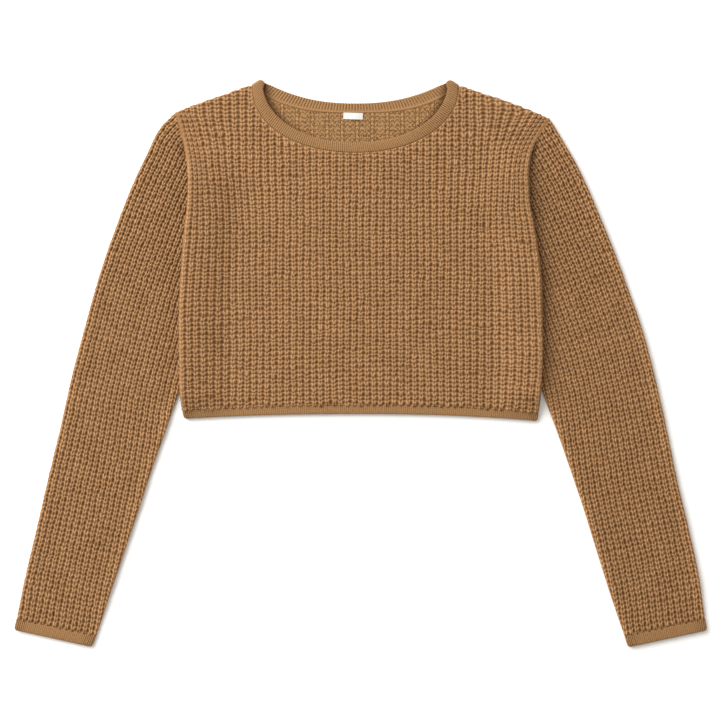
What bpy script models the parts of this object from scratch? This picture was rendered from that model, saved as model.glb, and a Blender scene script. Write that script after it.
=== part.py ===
"""Cropped knit sweater laid flat on its back, one closed solid for each piece of cloth.

Axes: +X is the wearer's left-hand side of the picture plane (right of the layout), +Y runs to the
neck and +Z up from the surface. The origin is on that surface, under the middle of the layout.
Lengths in this file are in millimetres and meshes are made in metres.

The back panel lies on the surface and the front panel on the back panel. Each panel turns half way
round the side and shoulder folds, where the two meet. The sleeves are flattened tubes. Below the
shoulder each sleeve head is tucked under the edge of the body, which rides up over it.
"""

import math
from functools import partial

import bpy
import numpy as np

MM = 0.001

# Cloth thicknesses
KNIT_WALL = 2.5           # chunky main knit, one layer
BAND_WALL = 2.2           # fine rib of the hem band and cuffs
NECK_WALL = 2.4           # doubled rib of the neckband
SEAM_GAP = 0.3            # between neighbouring pieces
LABEL_THICKNESS = 0.4

# Heights of two layers lying on each other
BODY_HEIGHT = 6.0         # front on back, away from the folds
SLEEVE_HEIGHT = 6.0
SLEEVE_FOLD_HEIGHT = 7.2  # along the sleeve's two long folds
BAND_HEIGHT = 5.4         # hem band and cuffs
SIDE_FOLD_RISE = 2.0      # the front stands this much higher along the side folds
SIDE_FOLD_REACH = 30.0    # and falls back to the flat over this width
SLEEVE_FOLD_REACH = 18.0

# The tuck of the sleeve heads
TUCK_LIFT = 7.6           # the body's underside over the tucked sleeve
LIFT_FLAT = 22.0          # width from the side edge that is fully lifted
LIFT_END = 62.0           # where the body is back on the surface
LIFT_TOP = (206.0, 268.0)     # the lift fades out between these heights, towards the shoulder
LIFT_BOTTOM = (-66.0, -32.0)  # and fades in between these, from the hem
UNDERARM_Y = 85.0         # lower end of the sleeve's mouth, hidden under the body

# Body outline. Columns: y, x of the left edge, x of the right edge
BODY_SIDES = np.array((
    (-66.0, -203.0, 204.0),
    (-48.0, -206.2, 206.0),
    (5.0, -208.4, 209.4),
    (54.0, -208.7, 209.2),
    (104.0, -206.4, 207.4),
    (150.0, -203.0, 201.4),
    (184.0, -199.4, 195.2),
    (206.0, -198.4, 193.8),
    (230.0, -199.6, 194.4),
    (253.0, -203.2, 200.2),
    (271.0, -207.8, 210.6),
    (290.0, -213.6, 224.0),
))
SHOULDER_Y = {"left": 289.5, "right": 280.5}   # outer end of each shoulder
SHOULDER_BOW = 2.0        # the shoulder line stands this much above a straight line

# Hem
HEM_Y = -57.7             # lower edge of the hem band at the middle
HEM_BAND = 10.5           # height of the band
HEM_BOW = {"left": 5.6, "right": 8.2}    # how much lower each corner is
HEM_BOW_POWER = 2.2
HALF_WIDTH = 204.0        # where the bow is measured

# Neck. Half widths, and the y of each curve at the middle and at its ends
NECK_X = -5.9
SEAM_HALF_WIDTH = 118.9   # seam between body and neckband
EDGE_HALF_WIDTH = 106.8   # free edge of the neckband
SEAM_END_Y = 318.6
EDGE_END_Y = 326.3
FRONT_SEAM_Y = 243.2
FRONT_EDGE_Y = 255.2
BACK_SEAM_Y = 289.0
BACK_EDGE_Y = 300.6
FRONT_NECK_POWER = 2.1    # superellipse of the front neckline
BACK_SEAM_POWER = 3.0     # the back neckline is a power curve
BACK_EDGE_POWER = 2.3
NECK_POINT_GAP = 1.8      # the neckband's folds start this far from the neck points

# Sleeve sections from the mouth at the armhole to the seam of the cuff.
# Columns: x and y of the outer fold, x and y of the inner fold
SLEEVE_SECTIONS = {
    "left": np.array((
        (-214.9, 289.2, -184.0, 85.0),
        (-230.0, 273.0, -185.5, 72.0),
        (-248.0, 238.0, -188.0, 56.0),
        (-265.0, 201.0, -191.0, 38.0),
        (-281.0, 160.0, -195.5, 16.0),
        (-295.5, 119.0, -201.5, -8.0),
        (-308.0, 78.0, -208.5, -31.0),
        (-319.5, 36.0, -214.8, -49.0),
        (-332.5, -13.0, -223.5, -75.0),
        (-346.0, -75.0, -239.6, -120.0),
        (-359.6, -130.0, -254.6, -166.0),
        (-373.4, -190.0, -272.6, -219.0),
        (-386.2, -245.0, -289.2, -268.0),
        (-396.2, -293.4, -303.9, -312.2),
    )),
    "right": np.array((
        (220.0, 280.6, 186.0, 85.0),
        (231.7, 261.0, 188.0, 72.0),
        (246.7, 236.3, 190.5, 57.0),
        (261.6, 203.6, 193.5, 38.0),
        (276.0, 170.0, 197.5, 16.0),
        (293.0, 128.0, 202.8, -8.0),
        (308.5, 86.0, 209.4, -31.0),
        (325.0, 39.0, 216.5, -52.0),
        (339.5, -16.0, 225.5, -76.0),
        (352.5, -75.0, 241.0, -120.0),
        (364.0, -130.0, 256.5, -166.0),
        (378.3, -190.0, 273.0, -219.0),
        (389.8, -245.0, 288.5, -268.0),
        (396.9, -293.0, 303.8, -312.5),
    )),
}
# Lower edge of each cuff. Columns as above
CUFF_END = {
    "left": np.array((-398.4, -306.0, -308.4, -325.9)),
    "right": np.array((398.4, -306.4, 308.2, -326.3)),
}

LABEL_SIZE = (22.4, 7.6)
LABEL_PLACE = (-8.5, 285.4)
LABEL_TURN = math.radians(-1.5)

NECK_EDGE_INSET = 1.2     # width of the edge strip along the necklines

# How finely each form is divided
SIDE_STEPS = 3            # round a quarter of a body fold
FOLD_STEPS = 5            # round half a tube's fold
RAMP_ROWS = 3             # hem seam to the foot of the tuck
BODY_ROWS = 7             # foot of the tuck to its top
ARMHOLE_ROWS = 5          # top of the tuck to the shoulder
SHOULDER_COLUMNS = 4
NECK_COLUMNS = 16
EDGE_SHARE = 0.2          # share of the panels' width where columns bend with the side edge
COLUMN_LEAN = 0.5         # how far the panels' columns follow the neckline down to the hem
SLEEVE_COLUMNS_TUCKED = 3
SLEEVE_ROWS = 15

COLOURS = {               # linear colour and roughness of each cloth
    "main_knit": ((0.36, 0.195, 0.085), 0.95),
    "fine_rib": ((0.31, 0.165, 0.070), 0.95),
    "satin": ((0.82, 0.81, 0.79), 0.45),
}


def smooth(value, low, high):
    """Rise from 0 at low to 1 at high with flat ends."""
    t = np.clip((np.asarray(value, float) - low) / (high - low), 0.0, 1.0)
    return t * t * (3.0 - 2.0 * t)


def through(knots, rows, at):
    """Read a smooth curve through the rows of a table at the given knot values."""
    slopes = np.gradient(rows, knots, axis=0)
    at = np.clip(at, knots[0], knots[-1])
    i = np.clip(np.searchsorted(knots, at, side="right") - 1, 0, len(knots) - 2)
    span = knots[i + 1] - knots[i]
    t = (at - knots[i]) / span
    if rows.ndim > 1:
        t, span = t[..., None], span[..., None]
    start = rows[i] * (1 + 2 * t) * (1 - t) ** 2 + slopes[i] * span * t * (1 - t) ** 2
    end = rows[i + 1] * t * t * (3 - 2 * t) - slopes[i + 1] * span * t * t * (1 - t)
    return start + end


def side_x(y, side):
    """x of the body's left or right edge at height y."""
    column = 1 if side == "left" else 2
    return through(BODY_SIDES[:, 0], BODY_SIDES[:, column], np.asarray(y, float))


def inset_from_sides(x, y):
    """Distance along X from the nearer side edge of the body."""
    return np.minimum(x - side_x(y, "left"), side_x(y, "right") - x)


def tuck_span(y):
    """1 where the sleeves are tucked under the body, fading to 0 at the shoulder and the hem."""
    return smooth(y, *LIFT_BOTTOM) * (1.0 - smooth(y, *LIFT_TOP))


def body_low(x, y):
    """Underside of the body: on the surface, and lifted over the tucked sleeves."""
    return TUCK_LIFT * tuck_span(y) * (1.0 - smooth(inset_from_sides(x, y), LIFT_FLAT, LIFT_END))


def body_height(x, y):
    """Both layers of the body together, fuller along the side folds."""
    near_side = 1.0 - smooth(inset_from_sides(x, y), 0.0, SIDE_FOLD_REACH)
    return BODY_HEIGHT + SIDE_FOLD_RISE * near_side * tuck_span(y)


def hem_y(x):
    """Lower edge of the hem band, bowed so that both corners are lower than the middle."""
    bow = np.where(x < 0, HEM_BOW["left"], HEM_BOW["right"])
    return HEM_Y - bow * np.abs(x / HALF_WIDTH) ** HEM_BOW_POWER


def hem_seam_y(x):
    """Seam between the body and the hem band."""
    return hem_y(x) + HEM_BAND


def neck_end(half_width, end_y, side):
    """End of a neck curve, at the neck end of a shoulder."""
    return np.array((NECK_X + (half_width if side == "right" else -half_width), end_y))


def front_neck(half_width, end_y, middle_y):
    """Front neckline from left to right, a superellipse hanging from its two ends."""
    angle = np.linspace(math.pi, 0.0, NECK_COLUMNS + 1)
    bend = 2.0 / FRONT_NECK_POWER
    across = np.sign(np.cos(angle)) * np.abs(np.cos(angle)) ** bend
    down = np.abs(np.sin(angle)) ** bend
    return np.stack((NECK_X + half_width * across, end_y - (end_y - middle_y) * down), axis=-1)


def back_neck(half_width, end_y, middle_y, power):
    """Back neckline from left to right, a shallow power curve."""
    across = np.linspace(-1.0, 1.0, NECK_COLUMNS + 1)
    rise = (end_y - middle_y) * np.abs(across) ** power
    return np.stack((NECK_X + half_width * across, middle_y + rise), axis=-1)


def neck_fold(side):
    """Centres of the neckband's fold at its seam and at its free edge, and its way outwards."""
    seam = neck_end(SEAM_HALF_WIDTH, SEAM_END_Y, side)
    edge = neck_end(EDGE_HALF_WIDTH, EDGE_END_Y, side)
    along = (edge - seam) / np.linalg.norm(edge - seam)
    out = np.array((-along[1], along[0])) * (1.0 if side == "left" else -1.0)
    centres = np.stack((seam + along * NECK_POINT_GAP, edge)) - out * BODY_HEIGHT / 2
    return centres, out


def between_folds(seam, edge):
    """A layer of the neckband: its seam and its free edge, ending at the centres of the folds."""
    layer = np.stack((seam, edge))
    layer[:, 0] = neck_fold("left")[0]
    layer[:, -1] = neck_fold("right")[0]
    return layer


def neckline(seam):
    """Edge of a panel along the neckband's seam, from neck point to neck point."""
    line = seam - outward(seam) * SEAM_GAP
    line[0] = neck_end(SEAM_HALF_WIDTH, SEAM_END_Y, "left")
    line[-1] = neck_end(SEAM_HALF_WIDTH, SEAM_END_Y, "right")
    return line


def shoulder_line(side):
    """Shoulder fold from its outer end to the neck, slightly bowed upwards."""
    y = SHOULDER_Y[side]
    outer = np.array((float(side_x(y, side)), y))
    inner = neck_end(SEAM_HALF_WIDTH, SEAM_END_Y, side)
    t = np.linspace(0.0, 1.0, SHOULDER_COLUMNS + 1)[:, None]
    bow = np.array((0.0, SHOULDER_BOW)) * 4.0 * t * (1.0 - t)
    return outer + (inner - outer) * t + bow


def outward(points):
    """Unit normals in plan of a curve, on its left-hand side when read along the curve."""
    along = np.gradient(points, axis=0)
    normal = np.stack((-along[:, 1], along[:, 0]), axis=-1)
    return normal / np.linalg.norm(normal, axis=1, keepdims=True)


def armhole_heights(side):
    """Heights along the armhole seam, from the top of the tuck to the turn of the shoulder."""
    return np.linspace(LIFT_TOP[0], SHOULDER_Y[side] - BODY_HEIGHT / 2, ARMHOLE_ROWS + 1)


def side_edge(side):
    """Points down one side of a panel's flat part, with the radius and turn of its fold."""
    seam = float(hem_seam_y(side_x(HEM_Y, side)))
    ramp = np.linspace(seam, LIFT_BOTTOM[1], RAMP_ROWS + 1)
    tucked = np.linspace(LIFT_BOTTOM[1], LIFT_TOP[0], BODY_ROWS + 1)
    y = np.concatenate((ramp[:-1], tucked[:-1], armhole_heights(side)))
    x = side_x(y, side)
    radius = body_height(x, y) / 2
    turned = 1.0 - smooth(y, *LIFT_TOP)
    inward = 1.0 if side == "left" else -1.0
    return np.stack((x + inward * radius, y), axis=-1), radius, turned


def fill_between(bottom, top, left, right):
    """Grid that meets four edge curves, rows from bottom to top.

    Its columns run straight from bottom to top, and bend to meet the left and right edges
    only within EDGE_SHARE of the width.
    """
    s = np.linspace(0.0, 1.0, len(bottom))[None, :, None]
    rise = (left[:, 1] - left[0, 1]) / (left[-1, 1] - left[0, 1])
    v = rise[:, None, None]
    straight = (1 - v) * bottom[None] + v * top[None]
    near_left = 1.0 - smooth(s, 0.0, EDGE_SHARE)
    near_right = smooth(s, 1.0 - EDGE_SHARE, 1.0)
    return (straight + near_left * (left[:, None] - straight[:, :1])
            + near_right * (right[:, None] - straight[:, -1:]))


def roll(turned, radius, depth):
    """Offsets of the rows that turn over a fold: how far out, and how far towards the middle.

    turned is 1 for a full quarter turn and 0 for cloth that runs on flat to the same line.
    depth is 0 for the outer face of the cloth and its wall thickness for the inner face.
    """
    share = np.arange(1, SIDE_STEPS + 1) / SIDE_STEPS
    angle = share * math.pi / 2
    turned = turned[:, None]
    radius = radius[:, None]
    out = turned * (radius - depth) * np.sin(angle) + (1 - turned) * radius * share
    drop = turned * (radius - depth - SEAM_GAP / 2) * (1 - np.cos(angle))
    return out, drop


def add_columns(grid, columns, side):
    """Join the columns of a turned edge to one side of a grid."""
    if side == "left":
        return np.concatenate((columns[:, ::-1], grid), axis=1)
    return np.concatenate((grid, columns), axis=1)


def panel_grid(layer, neckline, depth):
    """Points of one face of the front or the back, with its turned edges."""
    shoulders = [shoulder_line("left"), shoulder_line("right")[::-1]]
    top_edge = np.concatenate((shoulders[0], neckline[1:-1], shoulders[1]))
    turned = np.zeros(len(top_edge))
    turned[:SHOULDER_COLUMNS + 1] = 1.0
    turned[-SHOULDER_COLUMNS - 1:] = 1.0
    radius = np.where(turned > 0, BODY_HEIGHT / 2, NECK_EDGE_INSET)
    top_out = outward(top_edge)
    top = top_edge - top_out * radius[:, None]
    offset, top_drop = roll(turned, radius, depth)

    edges = {side: side_edge(side) for side in ("left", "right")}
    left, right = edges["left"][0], edges["right"][0]
    top[0], top[-1] = left[-1], right[-1]
    even_x = np.linspace(left[0, 0], right[0, 0], len(top_edge))
    bottom_x = even_x + (top[:, 0] - even_x) * COLUMN_LEAN
    bottom_x[0], bottom_x[-1] = left[0, 0], right[0, 0]
    bottom = np.stack((bottom_x, hem_seam_y(bottom_x)), axis=-1)
    left[0], right[0] = bottom[0], bottom[-1]
    flat = fill_between(bottom, top, left, right)

    # rows that turn over the shoulders
    turning = [top + top_out * offset[:, step, None] for step in range(SIDE_STEPS)]
    plan = np.concatenate((flat, np.stack(turning)))
    drop = np.concatenate((np.zeros(flat.shape[:2]), top_drop.T))
    base = np.concatenate((flat, np.repeat(flat[-1:], SIDE_STEPS, axis=0)))

    # columns that turn over the sides
    for side, outwards in (("left", -1.0), ("right", 1.0)):
        _, radius, turned = edges[side]
        offset, side_drop = roll(np.pad(turned, (0, SIDE_STEPS), "edge"),
                                 np.pad(radius, (0, SIDE_STEPS), "edge"), depth)
        end = 0 if side == "left" else -1
        shift = offset[..., None] * np.array((outwards, 0.0))
        plan = add_columns(plan, plan[:, end, None] + shift, side)
        drop = add_columns(drop, drop[:, end, None] + side_drop, side)
        base = add_columns(base, np.repeat(base[:, end, None], SIDE_STEPS, axis=1), side)

    low = body_low(base[..., 0], base[..., 1])
    if layer == "back":
        z = low + depth + drop
    else:
        z = low + body_height(base[..., 0], base[..., 1]) - depth - drop
    return np.concatenate((plan, z[..., None]), axis=-1)


def tube_grid(upper, lower, out_start, out_end, reach, low, high, depth):
    """Points of one face of a flattened tube, one ring for each row.

    upper and lower hold the plan of each layer between the centres of its two folds. out_start
    and out_end point outwards at the folds, which reach that far past their centres. depth is 0
    for the outer face of the cloth and its wall thickness for the inner face.
    """
    z_high = high(upper) - depth
    z_low = low(lower) + depth
    angle = np.linspace(0.0, math.pi, FOLD_STEPS + 1)[1:-1]
    folds = []
    for end, out in ((-1, out_end), (0, out_start)):
        middle = (z_high[:, end] + z_low[:, end]) / 2
        half = (z_high[:, end] - z_low[:, end]) / 2
        spread = (reach - depth)[:, None] * np.sin(angle)
        plan = upper[:, end, None] + spread[..., None] * out[:, None]
        z = middle[:, None] + half[:, None] * np.cos(angle)
        folds.append(np.concatenate((plan, z[..., None]), axis=-1))
    over = np.concatenate((upper, z_high[..., None]), axis=-1)
    under = np.concatenate((lower, z_low[..., None]), axis=-1)
    return np.concatenate((over, folds[0], under[:, ::-1], folds[1][:, ::-1]), axis=1)


def sleeve_mouth(side):
    """Centre line of the sleeve's mouth, from the underarm to the shoulder.

    It follows the body's edge down from the shoulder and is then tucked under the body.
    """
    outwards = -1.0 if side == "left" else 1.0
    tucked = np.linspace(UNDERARM_Y, LIFT_TOP[0], SLEEVE_COLUMNS_TUCKED + 1)[:-1]
    seamed = armhole_heights(side)
    along_edge = side_x(seamed, side) + outwards * SEAM_GAP
    start = SLEEVE_SECTIONS[side][0, 2] - outwards * SLEEVE_HEIGHT / 2
    share = smooth(tucked, UNDERARM_Y, LIFT_TOP[0])
    under_body = start + (along_edge[0] - start) * share
    x = np.concatenate((under_body, along_edge))
    y = np.concatenate((tucked, seamed))
    return np.stack((x, y), axis=-1)


def sleeve_grid(side, depth):
    """Points of one face of a sleeve, from its mouth to the seam of the cuff."""
    sections = SLEEVE_SECTIONS[side]
    steps = np.linalg.norm(np.diff(sections[:, :2], axis=0), axis=1)
    knots = np.concatenate(((0.0,), np.cumsum(steps))) / steps.sum()
    v = np.linspace(0.0, 1.0, SLEEVE_ROWS)
    rows = through(knots, sections, v)
    turn = -1.0 if side == "left" else 1.0
    out_outer = outward(rows[:, :2]) * turn
    out_inner = -outward(rows[:, 2:]) * turn
    fold_height = SLEEVE_HEIGHT + (SLEEVE_FOLD_HEIGHT - SLEEVE_HEIGHT) * smooth(v, 0.0, 0.15)
    fold_height = fold_height - (SLEEVE_FOLD_HEIGHT - BAND_HEIGHT) * smooth(v, 0.93, 1.0)
    reach = fold_height / 2
    outer = rows[:, :2] - out_outer * reach[:, None]
    inner = rows[:, 2:] - out_inner * reach[:, None]
    mouth = sleeve_mouth(side)
    inner[0] = mouth[0]
    outer[0] = mouth[-1]
    t = (mouth[:, 1] - mouth[0, 1]) / (mouth[-1, 1] - mouth[0, 1])
    straight = inner[:, None] + (outer - inner)[:, None] * t[None, :, None]
    correction = (mouth - straight[0])[None] * ((1.0 - smooth(v, 0.0, 0.3))[:, None, None])
    plan = straight + correction

    def high(points):
        to_fold = np.minimum(np.linalg.norm(points - points[:, :1], axis=-1),
                             np.linalg.norm(points - points[:, -1:], axis=-1))
        near_fold = 1.0 - smooth(to_fold, 0.0, SLEEVE_FOLD_REACH)
        middle = SLEEVE_HEIGHT - (SLEEVE_HEIGHT - BAND_HEIGHT) * smooth(v, 0.93, 1.0)
        return middle[:, None] + (fold_height - middle)[:, None] * near_fold

    def low(points):
        return np.zeros(points.shape[:2])

    return tube_grid(plan, plan, out_inner, out_outer, reach, low, high, depth)


def cuff_grid(side, depth):
    """Points of one face of a cuff, from just below its seam to its open end."""
    top = SLEEVE_SECTIONS[side][-1]
    end = CUFF_END[side]
    down = (end - top) / np.linalg.norm((end - top)[:2])
    rows = np.stack((top + down * SEAM_GAP, end))
    out = rows[:, :2] - rows[:, 2:]
    out = out / np.linalg.norm(out, axis=1, keepdims=True)
    reach = np.full(2, BAND_HEIGHT / 2)
    outer = rows[:, :2] - out * reach[:, None]
    inner = rows[:, 2:] + out * reach[:, None]
    columns = SLEEVE_COLUMNS_TUCKED + ARMHOLE_ROWS + 1
    t = np.linspace(0.0, 1.0, columns)[None, :, None]
    plan = inner[:, None] + (outer - inner)[:, None] * t

    def high(points):
        return np.full(points.shape[:2], BAND_HEIGHT)

    def low(points):
        return np.zeros(points.shape[:2])

    return tube_grid(plan, plan, -out, out, reach, low, high, depth)


def hem_grid(depth):
    """Points of one face of the hem band, from just below its seam to its open end."""
    columns = 2 * SHOULDER_COLUMNS + NECK_COLUMNS + 1
    rows = []
    for drop in (HEM_BAND - SEAM_GAP, 0.0):
        left = float(side_x(hem_y(-HALF_WIDTH) + drop, "left")) + BAND_HEIGHT / 2
        right = float(side_x(hem_y(HALF_WIDTH) + drop, "right")) - BAND_HEIGHT / 2
        x = np.linspace(left, right, columns)
        rows.append(np.stack((x, hem_y(x) + drop), axis=-1))
    plan = np.stack(rows)
    out = np.tile((1.0, 0.0), (2, 1))
    reach = np.full(2, BAND_HEIGHT / 2)

    def low(points):
        return body_low(points[..., 0], points[..., 1])

    def high(points):
        return low(points) + BAND_HEIGHT

    return tube_grid(plan, plan, -out, out, reach, low, high, depth)


def neckband_grid(front, back, depth):
    """Points of one face of the neckband: a short tube, flattened like the body.

    Its front layer hangs lower than its back layer, and it folds at the two neck points.
    """
    reach = np.full(2, BODY_HEIGHT / 2)
    outs = [np.tile(neck_fold(side)[1], (2, 1)) for side in ("left", "right")]

    def high(points):
        return np.full(points.shape[:2], BODY_HEIGHT)

    def low(points):
        return np.zeros(points.shape[:2])

    return tube_grid(front, back, outs[0], outs[1], reach, low, high, depth)


def material(slot):
    """Plain cloth material of one slot."""
    found = bpy.data.materials.get(slot)
    if found:
        return found
    colour, roughness = COLOURS[slot]
    made = bpy.data.materials.new(slot)
    made.use_nodes = True
    shader = made.node_tree.nodes["Principled BSDF"]
    shader.inputs["Base Color"].default_value = (*colour, 1.0)
    shader.inputs["Roughness"].default_value = roughness
    shader.inputs["Metallic"].default_value = 0.0
    return made


def grid_faces(index, closed_round):
    """Triangles of a grid of point numbers, joined round into a tube if it is closed.

    Every cell is cut along the same diagonal, so faces on either side of a wall stay parallel.
    """
    if closed_round:
        index = np.concatenate((index, index[:, :1]), axis=1)
    a, b, c, d = index[:-1, :-1], index[:-1, 1:], index[1:, 1:], index[1:, :-1]
    return np.stack((a, b, c, a, c, d), axis=-1).reshape(-1, 3)


def cloth(name, make_grid, wall, closed_round, slot, collection):
    """Make a wall of cloth: its outer face, its inner face and the rims that join them.

    make_grid gives the points of either face for a depth of 0 or of the wall's thickness.
    """
    outer = make_grid(0.0)
    inner = make_grid(wall)
    rows, columns = outer.shape[:2]
    count = rows * columns
    index = np.arange(count).reshape(rows, columns)
    faces = [grid_faces(index, closed_round), grid_faces(index + count, closed_round)[:, ::-1]]
    edges = [index[0], index[-1, ::-1]]
    if not closed_round:
        edges = [np.concatenate((index[0], index[1:, -1], index[-1, -2::-1], index[-2:0:-1, 0]))]
    for edge in edges:
        rim = np.stack((edge, edge + count), axis=0)
        faces.append(grid_faces(rim, True)[:, ::-1])
    faces = np.concatenate(faces)
    points = np.concatenate((outer.reshape(-1, 3), inner.reshape(-1, 3)))
    first, second, third = points[faces[0]]
    facing = np.cross(second - first, third - first)
    if facing @ (first - points[faces[0][0] + count]) < 0:
        faces = faces[:, ::-1]
    mesh = bpy.data.meshes.new(name)
    mesh.from_pydata((points * MM).tolist(), [], faces.tolist())
    mesh.materials.append(material(slot))
    mesh.shade_smooth()
    mesh.set_sharp_from_angle(angle=math.radians(50))
    piece = bpy.data.objects.new(name, mesh)
    collection.objects.link(piece)
    return piece


def make_label(collection):
    """Woven satin label, a thin plate on the inside of the back just below the neckband."""
    bpy.ops.mesh.primitive_cube_add(size=1.0)
    piece = bpy.context.object
    piece.name = "label"
    piece.data.name = "label"
    piece.scale = (LABEL_SIZE[0] * MM, LABEL_SIZE[1] * MM, LABEL_THICKNESS * MM)
    bpy.ops.object.transform_apply(location=False, rotation=False, scale=True)
    height = KNIT_WALL + SEAM_GAP + LABEL_THICKNESS / 2
    piece.location = (LABEL_PLACE[0] * MM, LABEL_PLACE[1] * MM, height * MM)
    piece.rotation_euler = (0.0, 0.0, LABEL_TURN)
    piece.data.materials.append(material("satin"))
    for holder in list(piece.users_collection):
        holder.objects.unlink(piece)
    collection.objects.link(piece)
    return piece


def main():
    for leftover in list(bpy.data.objects):
        bpy.data.objects.remove(leftover, do_unlink=True)
    sweater = bpy.data.collections.new("cropped_knit_sweater")
    bpy.context.scene.collection.children.link(sweater)

    front_band = between_folds(front_neck(SEAM_HALF_WIDTH, SEAM_END_Y, FRONT_SEAM_Y),
                               front_neck(EDGE_HALF_WIDTH, EDGE_END_Y, FRONT_EDGE_Y))
    back_band = between_folds(
        back_neck(SEAM_HALF_WIDTH, SEAM_END_Y, BACK_SEAM_Y, BACK_SEAM_POWER),
        back_neck(EDGE_HALF_WIDTH, EDGE_END_Y, BACK_EDGE_Y, BACK_EDGE_POWER))
    front = partial(panel_grid, "front", neckline(front_band[0]))
    back = partial(panel_grid, "back", neckline(back_band[0]))
    cloth("front", front, KNIT_WALL, False, "main_knit", sweater)
    cloth("back", back, KNIT_WALL, False, "main_knit", sweater)
    for side in ("left", "right"):
        cloth(f"sleeve_{side}", partial(sleeve_grid, side), KNIT_WALL, True, "main_knit", sweater)
        cloth(f"cuff_{side}", partial(cuff_grid, side), BAND_WALL, True, "fine_rib", sweater)
    cloth("hem_band", hem_grid, BAND_WALL, True, "fine_rib", sweater)
    neckband = partial(neckband_grid, front_band, back_band)
    cloth("neckband", neckband, NECK_WALL, True, "fine_rib", sweater)
    make_label(sweater)


main()
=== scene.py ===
import math

import bpy
import numpy as np
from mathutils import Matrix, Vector


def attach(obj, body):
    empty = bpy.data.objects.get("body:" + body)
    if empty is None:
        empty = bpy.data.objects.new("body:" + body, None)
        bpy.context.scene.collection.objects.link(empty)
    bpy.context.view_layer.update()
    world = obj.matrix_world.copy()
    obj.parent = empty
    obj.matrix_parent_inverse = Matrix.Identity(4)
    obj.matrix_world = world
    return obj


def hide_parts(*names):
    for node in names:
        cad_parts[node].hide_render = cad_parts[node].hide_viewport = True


# Cropped sweater in a chunky camel half-cardigan rib, laid flat.
# Lengths are in millimetres until a mesh is made. +X is right, +Y is the neck and +Z is up.

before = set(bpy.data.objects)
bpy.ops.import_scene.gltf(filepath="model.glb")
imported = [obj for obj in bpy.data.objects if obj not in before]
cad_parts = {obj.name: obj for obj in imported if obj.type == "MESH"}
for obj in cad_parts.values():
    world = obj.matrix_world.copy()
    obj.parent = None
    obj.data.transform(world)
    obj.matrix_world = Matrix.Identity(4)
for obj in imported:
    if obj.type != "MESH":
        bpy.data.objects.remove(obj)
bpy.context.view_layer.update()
print("frame loaded")

mm = 0.001
floorGap = 0.02                # the cloth rests this far above the surface

# The garment's plan, the same numbers as in the part's source
bodyPlan = {
    "knitWall": 2.5,
    "layers": 6.0,              # front on back, away from the folds
    "sideRise": 2.4,            # the front stands higher along the side folds
    "sideReach": 30.0,
    "tuckLift": 7.6,            # the body's underside over the tucked sleeves
    "liftFlat": 22.0,
    "liftEnd": 62.0,
    "liftTop": (206.0, 268.0),
    "liftBottom": (-66.0, -32.0),
    "halfFlat": 200.0,          # straightened half width, between the side folds
    "shoulderY": {"left": 289.5, "right": 282.0},
    "shoulderBow": {"left": 2.2, "right": 3.2},
    "bandRise": {"left": 1.9, "right": 1.1},    # the shoulder rises to meet the neckband
    "edgeBlend": 75.0,          # wales bend to follow the side edge over this width
    "fan": 1.0,                 # and fan outwards this far near the shoulder
    "fanReach": 80.0,
    "fanY": (196.0, 285.0),
    "shoulderInset": 3.0,       # the flat part stops this far below a shoulder fold
}
# y, x of the left edge, x of the right edge
bodySides = np.array((
    (-66.0, -203.0, 204.0), (-48.0, -206.2, 206.0), (5.0, -208.4, 209.4),
    (54.0, -208.7, 209.2), (104.0, -206.4, 207.4), (150.0, -203.0, 201.4),
    (184.0, -199.4, 195.2), (206.0, -198.4, 193.8), (230.0, -199.6, 194.4),
    (253.0, -203.2, 200.2), (271.0, -207.8, 210.6), (290.0, -213.6, 224.0),
))
hemPlan = {"y": -57.7, "band": 10.5, "bowLeft": 5.6, "bowRight": 8.2, "bowPower": 2.2,
           "bowReach": 220.0,       # courses straighten out over this height
           "halfWidth": 204.0, "height": 5.4, "wall": 2.2}
neckPlan = {"x": -5.9, "seamHalf": 118.9, "edgeHalf": 106.8, "seamEndY": 318.6,
            "edgeEndY": 326.3, "frontSeamY": 243.2, "frontEdgeY": 255.2, "backSeamY": 289.0,
            "backEdgeY": 300.6, "frontPower": 2.1, "backSeamPower": 3.0,
            "backEdgePower": 2.3, "pointGap": 0.3, "height": 6.0, "wall": 2.4,
            "rib": 2.4, "backRib": 3.4, "band": 12.5,
            "pointOut": {"left": (2.8, 1.8), "right": (2.0, 1.5)}}   # the folds stand out at seam and edge
sleevePlan = {"height": 6.0, "foldRise": 1.2, "cuffDrop": 1.8, "foldReach": 18.0,
              "underarmY": 85.0, "turnY": 206.0, "tuck": 7.0,
              "pressed": {"left": 2.5, "right": 3.3}, "pressedReach": {"left": 30.0, "right": 40.0}}
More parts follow.
